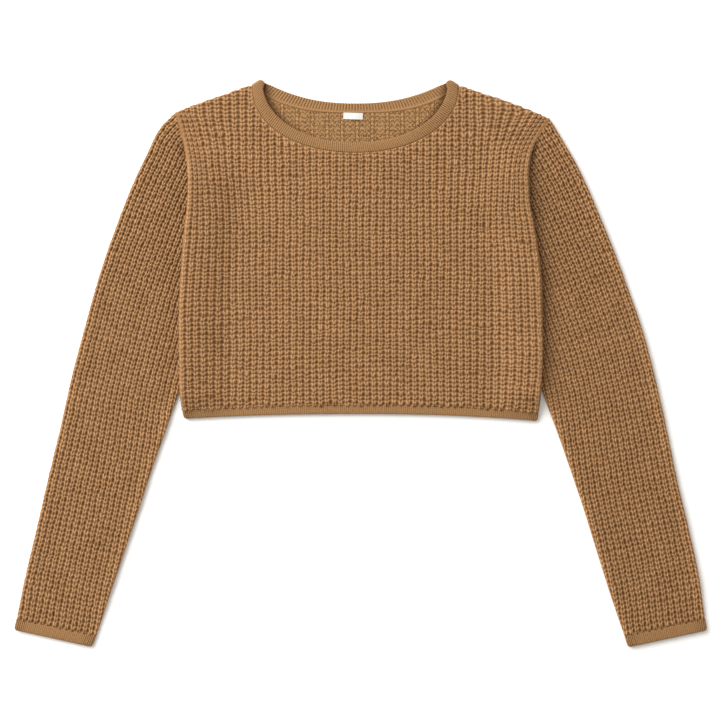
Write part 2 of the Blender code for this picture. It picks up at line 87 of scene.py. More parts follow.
# x, y of the outer fold and x, y of the inner fold, from the armhole to the cuff's seam
sleeveSections = {
    "left": np.array((
        (-212.4, 291.0, -184.0, 85.0), (-230.0, 273.0, -185.5, 72.0),
        (-248.0, 238.0, -188.0, 56.0), (-265.0, 201.0, -191.0, 38.0),
        (-281.0, 160.0, -195.5, 16.0), (-295.5, 119.0, -201.5, -8.0),
        (-308.0, 78.0, -208.5, -31.0), (-319.5, 36.0, -214.8, -49.0),
        (-332.5, -13.0, -223.5, -75.0), (-346.0, -75.0, -239.6, -120.0),
        (-359.6, -130.0, -254.6, -166.0), (-373.4, -190.0, -272.6, -219.0),
        (-386.2, -245.0, -289.2, -268.0), (-396.2, -293.4, -303.9, -312.2),
    )),
    "right": np.array((
        (217.2, 284.2, 186.0, 85.0), (231.2, 261.0, 188.0, 72.0),
        (245.6, 236.3, 190.5, 57.0), (261.6, 203.6, 193.5, 38.0),
        (276.0, 170.0, 197.5, 16.0), (293.0, 128.0, 202.8, -8.0),
        (308.5, 86.0, 209.4, -31.0), (325.0, 39.0, 216.5, -52.0),
        (339.5, -16.0, 225.5, -76.0), (352.5, -75.0, 241.0, -120.0),
        (364.0, -130.0, 256.5, -166.0), (378.3, -190.0, 273.0, -219.0),
        (389.8, -245.0, 288.5, -268.0), (396.9, -293.0, 303.8, -312.5),
    )),
}
cuffEnd = {
    "left": np.array((-399.2, -306.2, -309.2, -326.0)),
    "right": np.array((399.4, -306.8, 308.0, -326.5)),
}

panelTall = 372.0              # more than the height of a panel, from the hem seam to the neck point
signOf = {"left": -1.0, "right": 1.0}

# Real sizes of the stitches
bodyKnit = {"wale": 400.0 / 52, "course": 5.12, "lift": 0.46,
            "armAt": 0.53, "armFoot": 0.08, "armSpread": 0.32, "armLong": 0.64, "yarn": 0.09,
            "hole": 0.90, "holeAt": 0.55, "holeWide": 0.18, "holeSkew": 2.0, "holeTall": 0.34,
            "gap": 0.38, "gapWide": 0.13,
            "dot": 0.70, "dotAt": 0.27, "dotWide": 0.11, "dotTall": 0.24}
sleeveKnit = dict(bodyKnit, wale=6.4, course=5.75, holeWide=0.17, holeSkew=0.5, holeTall=0.36,
                  hole=0.80, gap=0.42, dot=0.75, dotWide=0.12, dotTall=0.30, yarn=0.10, widen=0.10)


def smoothStep(value, low, high):
    # 3t^2 - 2t^3 of the share t of the way from low to high
    t = np.clip((np.asarray(value, float) - low) / (high - low), 0.0, 1.0)
    return t * t * (3.0 - 2.0 * t)


def fall(value, low, high):
    # 1 below low, 0 above high
    return 1.0 - smoothStep(value, low, high)


def hump(away, wide):
    # bell curve, exp(-(away / wide)^2)
    return np.exp(-(away / wide) ** 2)


def lengthAlong(line):
    # distance from the start of a line to each of its points
    steps = np.linalg.norm(np.diff(line, axis=0), axis=1)
    return np.concatenate(((0.0,), np.cumsum(steps)))


def through(knots, rows, at):
    # cubic Hermite curve through the rows of a table, with the table's own slopes
    slopes = np.gradient(rows, knots, axis=0)
    at = np.clip(at, knots[0], knots[-1])
    i = np.clip(np.searchsorted(knots, at, side="right") - 1, 0, len(knots) - 2)
    span = knots[i + 1] - knots[i]
    t = (at - knots[i]) / span
    if rows.ndim > 1:
        t, span = t[..., None], span[..., None]
    start = rows[i] * (1 + 2 * t) * (1 - t) ** 2 + slopes[i] * span * t * (1 - t) ** 2
    end = rows[i + 1] * t * t * (3 - 2 * t) - slopes[i + 1] * span * t * t * (1 - t)
    return start + end


def sideX(y, side):
    # x of a side edge at a height, a smooth curve through its table
    return through(bodySides[:, 0], bodySides[:, 1 if side == "left" else 2], np.asarray(y, float))


def tuckSpan(y):
    # 1 where the sleeves lie under the body, 0 at the shoulder and the hem
    return smoothStep(y, *bodyPlan["liftBottom"]) * fall(y, *bodyPlan["liftTop"])


def sideInset(x, y):
    # distance across to the nearer side edge
    return np.minimum(x - sideX(y, "left"), sideX(y, "right") - x)


# Soft troughs and ridges: from x, y to x, y, how deep, half width. Ridges are minus.
creases = (
    (-186.0, -30.0, -118.0, 70.0, 0.75, 20.0), (148.0, -38.0, 188.0, 62.0, 0.60, 18.0),
    (-92.0, -52.0, -48.0, 110.0, -0.45, 30.0), (66.0, -50.0, 18.0, 70.0, 0.45, 24.0),
    (-150.0, 120.0, -95.0, 235.0, 0.45, 20.0), (120.0, 130.0, 165.0, 250.0, -0.40, 22.0),
    (-20.0, 120.0, 70.0, 215.0, 0.35, 30.0),
    (262.0, 92.0, 332.0, 72.0, 0.80, 12.0), (246.0, 30.0, 322.0, 44.0, 0.55, 14.0),
    (-326.0, 64.0, -252.0, 44.0, 0.60, 13.0), (-344.0, -28.0, -262.0, 2.0, 0.65, 15.0),
    (-366.0, -128.0, -292.0, -106.0, 0.45, 16.0), (350.0, -92.0, 286.0, -60.0, 0.55, 15.0),
    (374.0, -206.0, 318.0, -190.0, 0.45, 14.0), (-262.0, 186.0, -226.0, 120.0, -0.40, 12.0),
)


def creased(x, y):
    # sum of depth exp(-(distance to the crease / half width)^2)
    total = np.zeros_like(x)
    for startX, startY, endX, endY, deep, wide in creases:
        alongX, alongY = endX - startX, endY - startY
        t = np.clip(((x - startX) * alongX + (y - startY) * alongY) / (alongX ** 2 + alongY ** 2), 0.0, 1.0)
        away = (x - startX - t * alongX) ** 2 + (y - startY - t * alongY) ** 2
        total = total + deep * np.exp(-away / wide ** 2)
    return total


def bodyLow(x, y):
    # underside of the body: on the surface, and lifted over the tucked sleeves
    lifted = fall(sideInset(x, y), bodyPlan["liftFlat"], bodyPlan["liftEnd"])
    return bodyPlan["tuckLift"] * tuckSpan(y) * lifted


def bodyThick(x, y):
    # both layers together, thicker along the side folds over the sleeves
    nearSide = fall(sideInset(x, y), 0.0, bodyPlan["sideReach"])
    return bodyPlan["layers"] + bodyPlan["sideRise"] * nearSide * tuckSpan(y)


def hemY(x):
    # lower edge of the hem band, a power curve that drops towards both corners
    bow = np.where(x < 0, hemPlan["bowLeft"], hemPlan["bowRight"])
    return hemPlan["y"] - bow * np.abs(x / hemPlan["halfWidth"]) ** hemPlan["bowPower"]


def frontCurve(t, half, endY, middleY):
    # superellipse hanging from its two ends, t from 0 at the left to 1 at the right
    angle = np.pi * (1.0 - t)
    bend = 2.0 / neckPlan["frontPower"]
    x = np.sign(np.cos(angle)) * np.abs(np.cos(angle)) ** bend
    drop = np.abs(np.sin(angle)) ** bend
    return np.stack((neckPlan["x"] + half * x, endY - (endY - middleY) * drop), axis=-1)


def backCurve(t, half, endY, middleY, power):
    # shallow power curve, t from 0 at the left to 1 at the right
    x = 2.0 * t - 1.0
    rise = (endY - middleY) * np.abs(x) ** power
    return np.stack((neckPlan["x"] + half * x, middleY + rise), axis=-1)


def neckCurves(layer, t):
    # seam and free edge of one layer of the neckband
    n = neckPlan
    if layer == "front":
        return (frontCurve(t, n["seamHalf"], n["seamEndY"], n["frontSeamY"]),
                frontCurve(t, n["edgeHalf"], n["edgeEndY"], n["frontEdgeY"]))
    return (backCurve(t, n["seamHalf"], n["seamEndY"], n["backSeamY"], n["backSeamPower"]),
            backCurve(t, n["edgeHalf"], n["edgeEndY"], n["backEdgeY"], n["backEdgePower"]))


def topOutline(layer):
    # shoulder, neckline and shoulder of a panel as one line from left to right, x always rising
    neckT = 0.5 - 0.5 * np.cos(np.linspace(0.0, np.pi, 161))
    if layer == "front":
        neckT = np.linspace(0.0, 1.0, 241)
    neck = neckCurves(layer, neckT)[0]
    lines = []
    for side, sign in signOf.items():
        y = bodyPlan["shoulderY"][side]
        outer = np.array((float(sideX(y, side)), y))
        inner = np.array((neckPlan["x"] + sign * neckPlan["seamHalf"], neckPlan["seamEndY"]))
        t = np.linspace(0.0, 1.0, 61)[:, None]
        fromBand = (1.0 - t) * np.linalg.norm(inner - outer)
        bow = bodyPlan["shoulderBow"][side] * 4.0 * t * (1.0 - t)
        atBand = (1.0 - np.exp(-fromBand / 2.5)) * fall(fromBand, 12.0, 34.0)
        bow = bow + 0.5 * fromBand * hump(fromBand, 6.0) + bodyPlan["bandRise"][side] * atBand
        bow = bow - 1.8 * hump(t * np.linalg.norm(inner - outer), 3.5)
        lines.append(outer + (inner - outer) * t + np.array((0.0, 1.0)) * bow)
    return np.concatenate((lines[0][:-1], neck, lines[1][::-1][1:])), neck


stitchChance = np.random.default_rng(11).normal(0.0, 1.0, (4, 97, 211))


def chance(kind, wale, course):
    # one steady random number for each stitch
    return stitchChance[kind, np.round(wale).astype(int) % 97, np.floor(course).astype(int) % 211]


def softChance(kind, wale, course):
    # the same numbers, blended smoothly from each stitch to its neighbours
    i, j = np.floor(wale).astype(int), np.floor(course).astype(int)
    s, t = smoothStep(wale - i, 0.0, 1.0), smoothStep(course - j, 0.0, 1.0)
    table = stitchChance[kind]
    near = table[i % 97, j % 211] * (1 - t) + table[i % 97, (j + 1) % 211] * t
    far = table[(i + 1) % 97, j % 211] * (1 - t) + table[(i + 1) % 97, (j + 1) % 211] * t
    return near * (1 - s) + far * s


def wander(a, b, size):
    # slow drift made of three crossed sine waves
    return size * (np.sin(0.31 * a + 0.17 * b + 1.3) + np.sin(0.13 * a - 0.23 * b + 4.1)
                   + np.sin(0.47 * a + 0.05 * b)) / 3.0


def handKnit(wale, course):
    # the stitches' places: slow drift of whole rows and wales, and each stitch's own slip
    return (wale + wander(wale, course, 0.10) + 0.055 * softChance(0, wale, course),
            course + wander(course, wale, 0.30) + 0.17 * softChance(1, wale, course))


def fromMiddle(course, at):
    # courses above or below the place named at, -0.5 to 0.5
    return (course - at + 0.5) % 1.0 - 0.5


def loopRelief(wale, course, knit):
    # Height of half-cardigan loops. |u| is 0 in the middle of a wale and 0.5 between wales. In each
    # course two legs of yarn rise in a V, |u| = foot + spread s. Between wales lies a hole that
    # narrows upwards, width = w (1 - skew h), with a groove that joins the holes, and a small dip
    # lies over the legs.
    u = np.abs(wale - np.round(wale))
    s = (course - knit["armAt"]) % 1.0
    window = smoothStep(s, 0.0, 0.15) * fall(s, knit["armLong"] - 0.14, knit["armLong"] + 0.14)
    yarn = hump(u - knit["armFoot"] - knit["armSpread"] * s, knit["yarn"]) * window
    body = 0.55 * np.exp(-(u / 0.3) ** 4)
    h = fromMiddle(course, knit["holeAt"])
    wide = knit["holeWide"] * (1.0 - knit["holeSkew"] * h)
    hole = np.exp(-np.abs((0.5 - u) / wide) ** 3 - np.abs(h / knit["holeTall"]) ** 4)
    hole = hole * (1 + 0.22 * chance(2, wale + 0.5, course))
    gap = hump(0.5 - u, knit["gapWide"])
    dot = hump(u, knit["dotWide"]) * hump(fromMiddle(course, knit["dotAt"]), knit["dotTall"])
    raised = knit["lift"] * (yarn * (1 + 0.3 * chance(3, wale, course)) + body)
    return raised - 0.2 - knit["hole"] * hole - knit["gap"] * gap - knit["dot"] * dot


def sheetTriangles(points, uv):
    # two triangles for each cell of a grid, as corner positions and corner UVs
    def corners(grid):
        a, b, c, d = grid[:-1, :-1], grid[:-1, 1:], grid[1:, 1:], grid[1:, :-1]
        return np.stack((a, b, c, a, c, d), axis=-2).reshape(-1, 3, grid.shape[-1])
    return corners(points), corners(uv)


def zipTriangles(first, second, firstUv, secondUv, firstAt, secondAt):
    # strip between two lines with different spacing: at each step the line that lies behind moves
    # on to its next point
    at = np.concatenate((firstAt[1:], secondAt[1:]))
    which = np.concatenate((np.zeros(len(first) - 1, int), np.ones(len(second) - 1, int)))
    order = np.lexsort((which, at))
    which = which[order]
    i = np.concatenate(((0,), np.cumsum(1 - which)))
    j = np.concatenate(((0,), np.cumsum(which)))
    onFirst = which == 0
    third = np.where(onFirst[:, None], first[i[1:]], second[j[1:]])
    thirdUv = np.where(onFirst[:, None], firstUv[i[1:]], secondUv[j[1:]])
    points = np.stack((first[i[:-1]], second[j[:-1]], third), axis=1)
    uv = np.stack((firstUv[i[:-1]], secondUv[j[:-1]], thirdUv), axis=1)
    return points, uv


def makeMesh(name, soups, materials):
    # soups are (corner positions, corner UVs, material number, turn over). Corners that coincide
    # become one vertex, and triangles with no area are dropped.
    points = np.concatenate([s[0][:, ::-1] if s[3] else s[0] for s in soups])
    uv = np.concatenate([s[1][:, ::-1] if s[3] else s[1] for s in soups])
    which = np.concatenate([np.full(len(s[0]), s[2]) for s in soups])
    cell = np.round(points.reshape(-1, 3) / 0.002).astype(np.int64) + 2 ** 19
    key = (cell[:, 0] << 42) + (cell[:, 1] << 21) + cell[:, 2]
    _, chosen, corner = np.unique(key, return_index=True, return_inverse=True)
    vertices = points.reshape(-1, 3)[chosen]
    faces = corner.reshape(-1, 3)
    full = (faces[:, 0] != faces[:, 1]) & (faces[:, 1] != faces[:, 2]) & (faces[:, 0] != faces[:, 2])
    faces, uv, which = faces[full], uv[full], which[full]
    a, b, c = (vertices[faces[:, k]] for k in range(3))
    volume = np.einsum("ij,ij->i", a, np.cross(b, c)).sum() / 6.0
    if volume < 0:                           # the whole shell is inside out
        faces, uv = faces[:, ::-1], uv[:, ::-1]
    mesh = bpy.data.meshes.new(name)
    mesh.vertices.add(len(vertices))
    mesh.vertices.foreach_set("co", (vertices * mm).ravel())
    mesh.loops.add(faces.size)
    mesh.loops.foreach_set("vertex_index", faces.ravel())
    mesh.polygons.add(len(faces))
    mesh.polygons.foreach_set("loop_start", np.arange(0, faces.size, 3))
    mesh.polygons.foreach_set("material_index", which)
    mesh.polygons.foreach_set("use_smooth", np.ones(len(faces), bool))
    uv = uv.reshape(-1, 4)
    for layerName, part in (("stitches", uv[:, :2]), ("finish", uv[:, 2:])):
        layer = mesh.uv_layers.new(name=layerName)
        layer.data.foreach_set("uv", np.ascontiguousarray(part).ravel())
    for material in materials:
        mesh.materials.append(material)
    mesh.update(calc_edges=True)
    mesh.validate()
    piece = bpy.data.objects.new(name, mesh)
    bpy.context.scene.collection.objects.link(piece)
    print(name, len(faces), "triangles, volume", round(abs(volume) / 1000.0, 1), "cm3")
    return piece


def withPaintedLight(wale, course, stitches, extra=0.0):
    # stitch coordinates, how strongly the stitches and their painted shade show or the share left unshaded,
    # and a painted highlight or the strength of painted shade in grooves
    return np.stack(np.broadcast_arrays(wale, course, stitches, extra), axis=-1).astype(float)


def lineDistance(x, y, line):
    # shortest distance in plan from each point to a line of short segments
    start, step = line[:-1], np.diff(line, axis=0)
    length = (step ** 2).sum(axis=1)
    best = np.full(x.shape, 1e9)
    for (sx, sy), (dx, dy), size in zip(start, step, length):
        t = np.clip(((x - sx) * dx + (y - sy) * dy) / size, 0.0, 1.0)
        best = np.minimum(best, (x - sx - t * dx) ** 2 + (y - sy - t * dy) ** 2)
    return np.sqrt(best)


def panelPoints(layer, across, up, sideShare, topShare, depth, outline):
    # A panel as a function of the way across and the way up, both straightened. Rows stop at the
    # shoulders and the neckline. sideShare and topShare, 0 to 1, turn a quarter of the way round a fold:
    # out by r sin(angle), down by r (1 - cos(angle)).
    half, blend = bodyPlan["halfFlat"], bodyPlan["edgeBlend"]
    hemSeam = hemPlan["y"] + hemPlan["band"]
    bow = hemY(across) - hemPlan["y"]

    def slide(y):
        # the wales follow both side edges, and fan out by x (1 - x)^2, at most 1, near the shoulders
        thick = bodyThick(sideX(y, "left"), y) / 2
        left = (sideX(y, "left") + thick + half) * fall(across, -half, -half + blend)
        right = (sideX(y, "right") - thick - half) * smoothStep(across, half - blend, half)
        inShare = np.clip((half - np.abs(across)) / bodyPlan["fanReach"], 0.0, 1.0)
        fan = bodyPlan["fan"] * smoothStep(y, *bodyPlan["fanY"]) * 6.75 * inShare * (1 - inShare) ** 2
        return across + left + right + np.sign(across) * fan

    # the height where each column ends, found by repeating because the columns bend
    line = outline[0]
    inset = bodyPlan["shoulderInset"]
    top = np.full(across.shape[-1:], 300.0)
    for _ in range(12):
        x = slide(np.broadcast_to(top, across.shape))[0]
        onNeck = np.abs(x - neckPlan["x"]) < neckPlan["seamHalf"]
        top = np.interp(x, line[:, 0], line[:, 1]) - np.where(onNeck, 0.15, inset)
    y = np.minimum(hemSeam + up + bow * fall(up, 0.0, hemPlan["bowReach"]), top[None, :])
    x = slide(y)
    radius = bodyThick(sideX(y, "left"), y) / 2
    turned = fall(y, *bodyPlan["liftTop"])
    angle = sideShare * np.pi / 2
    out = turned * (radius - depth) * np.sin(angle) + (1 - turned) * radius * sideShare
    drop = turned * (radius - depth) * (1 - np.cos(angle))
    outSign = np.sign(across[0])[None, :]

    # shoulders: out along the fold's own way, which leans a little from +Y
    onShoulder = (np.abs(x - neckPlan["x"]) >= neckPlan["seamHalf"] - 0.01).astype(float)
    middles = 0.5 * (line[1:, 0] + line[:-1, 0])
    slope = np.interp(x, middles, np.diff(line[:, 1]) / np.diff(line[:, 0]))
    slope = np.where(onShoulder > 0, slope, 0.0)
    lean = np.stack((-slope, np.ones_like(slope)), axis=-1) / np.sqrt(1 + slope ** 2)[..., None]
    topAngle = topShare * np.pi / 2
    topOut = onShoulder * (inset - depth) * np.sin(topAngle)
    topDrop = onShoulder * (bodyPlan["layers"] / 2 - depth) * (1 - np.cos(topAngle))
    # where the two folds meet, the corner of the square of shares is pulled in to a circle
    out = out * np.sqrt(1 - 0.5 * onShoulder * np.sin(topAngle) ** 2)
    topOut = topOut * np.sqrt(1 - 0.5 * (1 - turned) * sideShare ** 2)
    plan = np.stack((x + outSign * out, y), axis=-1) + lean * topOut[..., None]
    drop = np.maximum(drop, topDrop)
    z = bodyLow(x, y) + depth + drop
    if layer == "front":
        fromEnds = smoothStep(sideInset(x, y), 4.0, 24.0) * smoothStep(y, hemSeam, hemSeam + 20.0)
        fromEnds = fromEnds * smoothStep(top[None, :] - y, 2.0, 20.0)
        z = bodyLow(x, y) + bodyThick(x, y) - depth - drop - creased(x, y) * fromEnds
    topTilt = onShoulder * np.sin(topAngle)
    upright = np.cos(angle * turned) * np.cos(topAngle * onShoulder) + 1e-3
    normal = np.stack((outSign * turned * np.sin(angle) + lean[..., 0] * topTilt, lean[..., 1] * topTilt,
                       upright if layer == "front" else -upright), axis=-1)
    normal = normal / np.linalg.norm(normal, axis=-1, keepdims=True)
    return np.concatenate((plan, z[..., None]), axis=-1), normal, (x, y)


def panelGrid(layer, columns, rows, sideSteps, topSteps, depth, outline):
    # grid positions: flat columns between the folds, then columns and rows that turn
    half = bodyPlan["halfFlat"]
    share = np.arange(1, sideSteps + 1) / sideSteps
    across = np.concatenate((np.full(sideSteps, -half), columns, np.full(sideSteps, half)))
    sideShare = np.concatenate((share[::-1], np.zeros(len(columns)), share))
    up = np.concatenate((rows, np.full(topSteps, rows[-1])))
    topShare = np.concatenate((np.zeros(len(rows)), np.arange(1, topSteps + 1) / topSteps))
    across, up, sideShare, topShare = np.broadcast_arrays(across, up[:, None], sideShare, topShare[:, None])
    points, normal, plan = panelPoints(layer, across, up, sideShare, topShare, depth, outline)
    arc = bodyPlan["layers"] / 2 * np.pi / 2
    return points, normal, plan, across + np.sign(across) * sideShare * arc * 1.15, topShare * arc


def hangingFeet(wale, course, rowsIn):
    # the feet of the first course hang over the band: a hump on each wale, gone after two rows
    feet = hump(wale - np.round(wale), 0.22) * (1 + 0.35 * softChance(2, wale, course))
    return feet * np.clip(1.0 - rowsIn / 2.0, 0.0, 1.0)[:, None]


# the front's and back's edges: the linking chain along an armhole, with a groove beside it
armhole = {"from": (200.0, 226.0), "chainAt": 2.2, "chainWide": 1.1, "chain": 0.55, "stitch": 3.3,
           "grooveAt": 4.9, "grooveWide": 0.8, "groove": 0.3, "fade": (3.4, 6.0),
           "left": 1.0, "right": 0.6,               # the chain is narrower on the right
           "narrowFrom": (140.0, 226.0), "narrow": ((0.0, 16.0, 118.0), (0.0, 7.7, 0.0))}


def makePanel(layer, perWale, materials):
    # outer face = form + normal x stitch relief, with a plain inner face and rims all round
    knit = bodyKnit
    back = layer == "back"
    outline = topOutline(layer)
    half = bodyPlan["halfFlat"]
    columns = np.linspace(-half, half, int(round(2 * half / knit["wale"])) * perWale + 1)
    rows = np.arange(0.0, panelTall, knit["course"] / 4)
    points, normal, (x, y), acrossArc, topArc = panelGrid(layer, columns, rows, 5, 4, 0.0, outline)
    hemSeam = hemPlan["y"] + hemPlan["band"]
    bow = hemY(np.clip(acrossArc, -half, half)) - hemPlan["y"]
    up = y - hemSeam - bow * fall(y - hemSeam, 0.0, hemPlan["bowReach"])
    # towards the armhole the outer wales grow narrower and keep beside it
    inFromSide = half - np.abs(acrossArc)
    narrow = np.interp(inFromSide, *armhole["narrow"]) * smoothStep(y, *armhole["narrowFrom"])
    wale = np.sign(acrossArc) * (half - inFromSide - narrow) / knit["wale"]
    wale, course = handKnit(wale, (up + topArc) / knit["course"])
    # the relief dies away into the seams and on the side folds
    fromNeck = lineDistance(x, y, outline[1])
    fromSeam = sideInset(x, y)
    beside = smoothStep(y, *armhole["from"])
    fade = smoothStep(fromNeck, 0.2, 2.6) * (0.35 + 0.65 * smoothStep(inFromSide, -1.5, 3.0))
    inChains = fromSeam / np.where(x < 0, armhole["left"], armhole["right"])
    fade = fade * (1.0 - 0.8 * beside * fall(inChains, *armhole["fade"]))
    relief = loopRelief(wale, course, knit) * fade - (knit["lift"] if back else 0.0)
    chain = 0.6 + 0.4 * np.sin(2 * np.pi * (y / armhole["stitch"] + 0.3 * fromSeam))
    chain = armhole["chain"] * chain * hump(inChains - armhole["chainAt"], armhole["chainWide"])
    groove = armhole["groove"] * hump(inChains - armhole["grooveAt"], armhole["grooveWide"])
    relief = relief + beside * (chain - groove)
    # painted highlight: the yarn is made lighter on the side folds, along the neckline and at the shoulders
    fromTop = np.interp(x, outline[0][:, 0], outline[0][:, 1]) - y
    edgeHighlight = np.maximum(0.3 * fall(fromSeam, 0.0, 9.0), fall(fromNeck, 0.0, 6.0))
    edgeHighlight = np.maximum(edgeHighlight, fall(fromTop, 0.0, 9.0))
    feet = hangingFeet(wale, course, np.arange(len(points)))
    points = points + normal * (relief + 0.5 * feet)[..., None]
    points[..., 1] -= 1.5 * feet
    if back:
        points[..., 2] = np.maximum(points[..., 2], floorGap)
    uv = withPaintedLight(wale, course, fade, edgeHighlight)

    # inner face, coarse where nothing shows, fine where the back shows through the neck
    coarse = np.linspace(-half, half, 51)
    nearEnds = neckPlan["seamHalf"] - np.arange(0.0, 14.0, 1.4)
    fine = np.concatenate((neckPlan["x"] - nearEnds, neckPlan["x"] + nearEnds))
    innerRows = np.append(np.arange(0.0, panelTall, 9.0), panelTall)
    if back:
        coarse = coarse[np.abs(coarse - neckPlan["x"]) > 124.0]
        fine = np.arange(neckPlan["x"] - 122.0, neckPlan["x"] + 122.1, 1.5)
        innerRows = np.concatenate((np.arange(0.0, 284.0, 9.5), np.arange(284.0, panelTall, 1.6)))
    inner, _, (x, y), acrossArc, topArc = panelGrid(
        layer, np.unique(np.concatenate((coarse, fine))), innerRows, 3, 2, bodyPlan["knitWall"], outline)
    course = (y - hemSeam) / knit["course"]
    innerUv = withPaintedLight(acrossArc / knit["wale"] + 0.45, (y - hemSeam + topArc) / knit["course"], 1.0)
    if back:
        shown = smoothStep(y, 236.0, 242.0) * (np.abs(x - neckPlan["x"]) < 121.0)
        inner[..., 2] += reverseRelief(innerUv[..., 0], course) * shown
        # painted shade on the back's inside beside the front neckband's edge, near the neck points
        innerUv[..., 2] -= 0.75 * tuckShadeMask(inner[..., 0], inner[..., 1])
    soups = [(*sheetTriangles(points, uv), 0, back), (*sheetTriangles(inner, innerUv), 1, not back)]
    for pick, turn in (((0, slice(None)), False), ((-1, slice(None)), True),
                       ((slice(None), 0), True), ((slice(None), -1), False)):
        along = [lengthAlong(face[pick][:, :2]) for face in (points, inner)]
        along = [length / length[-1] for length in along]
        rim = zipTriangles(points[pick], inner[pick], uv[pick], innerUv[pick], *along)
        soups.append((*rim, 0, turn != back))
    return makeMesh(layer + "Panel", soups, materials)


wrongSide = {"ridgeEvery": 2.25, "ridge": 0.26, "groove": 0.22, "stroke": 0.05}


def reverseRelief(wale, course):
    # Wrong side of the knit: an upright ridge every two and a quarter wales, a groove on either
    # side of it, and slanting strokes between the ridges
    every = wrongSide["ridgeEvery"]
    fromRidge = np.abs(wale / every - np.round(wale / every)) * every
    ridge = hump(fromRidge, 0.11)
    groove = hump(fromRidge - 0.27, 0.10)
    third = np.abs(3 * wale / every - np.round(3 * wale / every)) * every / 3
    stroke = -np.cos(2 * np.pi * (course + 1.5 * third)) * (1 - ridge)
    return wrongSide["ridge"] * ridge - wrongSide["groove"] * groove + wrongSide["stroke"] * stroke


def mouthLine(side):
    # from the shoulder down along the body's edge, then tucked under the body to the underarm
    sign, turnY, lowest = signOf[side], sleevePlan["turnY"], sleevePlan["underarmY"]
    top = bodyPlan["shoulderY"][side] + 0.5
    y = np.concatenate((np.linspace(top, turnY, 40), np.linspace(turnY, lowest, 30)[1:]))
    edge = sideX(y, side) + sign * 0.1
    start = sleeveSections[side][0, 2]
    x = np.where(y >= turnY, edge, start + (edge[39] - start) * smoothStep(y, lowest, turnY))
    # the seam lies a little way under the body's folded edge
    under = sleevePlan["tuck"] * smoothStep(y, 150.0, 200.0) * fall(y, 232.0, 252.0)
    return np.stack((x - sign * under, y), axis=-1)


def sleeveFrame(side, rows):
    # Along the outer fold: each course starts there and runs straight across, at right angles to
    # the fold's smoothed direction, until it meets the mouth or the inner fold.
    sections = sleeveSections[side]
    knots = lengthAlong(sections[:, :2])
    length = knots[-1]
    at = np.linspace(0.0, length, rows)
    outer = through(knots, sections[:, :2], at)
    leanAt = np.array((0.0, 60.0, 130.0, 230.0, 330.0, 430.0, length))
    ahead, behind = (through(knots, sections[:, :2], np.clip(leanAt + far, 0, length))
                     for far in (30.0, -30.0))
    lean = np.arctan2(np.abs((ahead - behind)[:, 0]), -(ahead - behind)[:, 1])
    seam = sections[-1]
    lean[-1] = math.atan2(abs(seam[3] - seam[1]), abs(seam[2] - seam[0]))
    lean = through(leanAt, lean, at)
    way = np.stack((-signOf[side] * np.cos(lean), -np.sin(lean)), axis=-1)

    # crossing of every row with every segment of the mouth and the inner fold
    mouth = mouthLine(side)
    innerFold = through(knots, sections[:, 2:], np.linspace(0.0, length, 400))
    line = np.concatenate((mouth, innerFold[1:]))
    start, step = line[:-1], np.diff(line, axis=0)
    cross = way[:, None, 0] * step[None, :, 1] - way[:, None, 1] * step[None, :, 0]
    gap = start[None] - outer[:, None]
    far = (gap[..., 0] * step[None, :, 1] - gap[..., 1] * step[None, :, 0]) / cross
    share = (gap[..., 0] * way[:, None, 1] - gap[..., 1] * way[:, None, 0]) / cross
    met = (share >= -1e-6) & (share <= 1 + 1e-6) & (far > 0)
    far = np.where(met, far, 1e9)
    width, hit = far.min(axis=1), far.argmin(axis=1)
    width[width > 1e8] = 0.0
    width[0] = 0.0                           # the cap starts at a point
    return at, outer, way, width, smoothStep(hit, len(mouth) - 6, len(mouth) + 25), length


def sleevePoints(side, frameRows, q, layerSign, depth, radiusOuter, radiusInner):
    # A sleeve as a function of the row along it and the arc q across it from the outer fold:
    # round the outer fold by angle q / r, flat, then round the inner fold.
    at, outer, way, width, closed, length = frameRows
    rO = radiusOuter[:, None]
    rI = (radiusInner * closed)[:, None]
    tau = closed[:, None]
    arcO = rO * np.pi / 2
    total = np.maximum(width[:, None] - rO - rI, 0.0) + arcO + rI * np.pi / 2
    q = np.minimum(q, total)
    phiO = np.clip(q / np.maximum(rO, 1e-6), 0.0, np.pi / 2)
    phiI = np.clip((total - q) / np.maximum(rI, 1e-6), 0.0, np.pi / 2)
    inOuter = q <= arcO
    inInner = (total - q) < rI * np.pi / 2
    distance = np.where(inOuter, rO - rO * np.cos(phiO), rO + (q - arcO))
    distance = np.where(inInner, width[:, None] - rI + rI * np.cos(phiI), distance)
    pull = np.where(inOuter, np.cos(phiO), np.where(inInner, -np.cos(phiI) * tau, 0.0))
    plan = outer[:, None] + way[:, None] * distance[..., None]
    middle = sleevePlan["height"] - 0.6 * smoothStep(at, length * 0.93, length)
    fold = 2 * radiusOuter
    fromFold = np.minimum(distance, width[:, None] - distance + 60.0 * (1 - tau))
    thick = middle[:, None] + (fold - middle)[:, None] * fall(fromFold, 0.0, sleevePlan["foldReach"])
    thick = thick - pressed(side, plan[..., 0], plan[..., 1])
    wall = depth * thick / sleevePlan["height"] if depth else 0.0
    plan = plan + way[:, None] * (pull * wall)[..., None]
    mid = thick / 2
    rise = np.where(inOuter, np.sin(phiO), np.where(inInner, 1 - tau * (1 - np.sin(phiI)), 1.0))
    z = mid + layerSign * (mid - wall) * rise
    across = np.where(inOuter, -np.cos(phiO), np.where(inInner, np.cos(phiI) * tau, 0.0))
    normal = np.concatenate((way[:, None] * across[..., None],
                             (layerSign * np.sqrt(np.maximum(1 - across ** 2, 0.0)))[..., None]), axis=-1)
    return np.concatenate((plan, z[..., None]), axis=-1), normal, q, total, rise


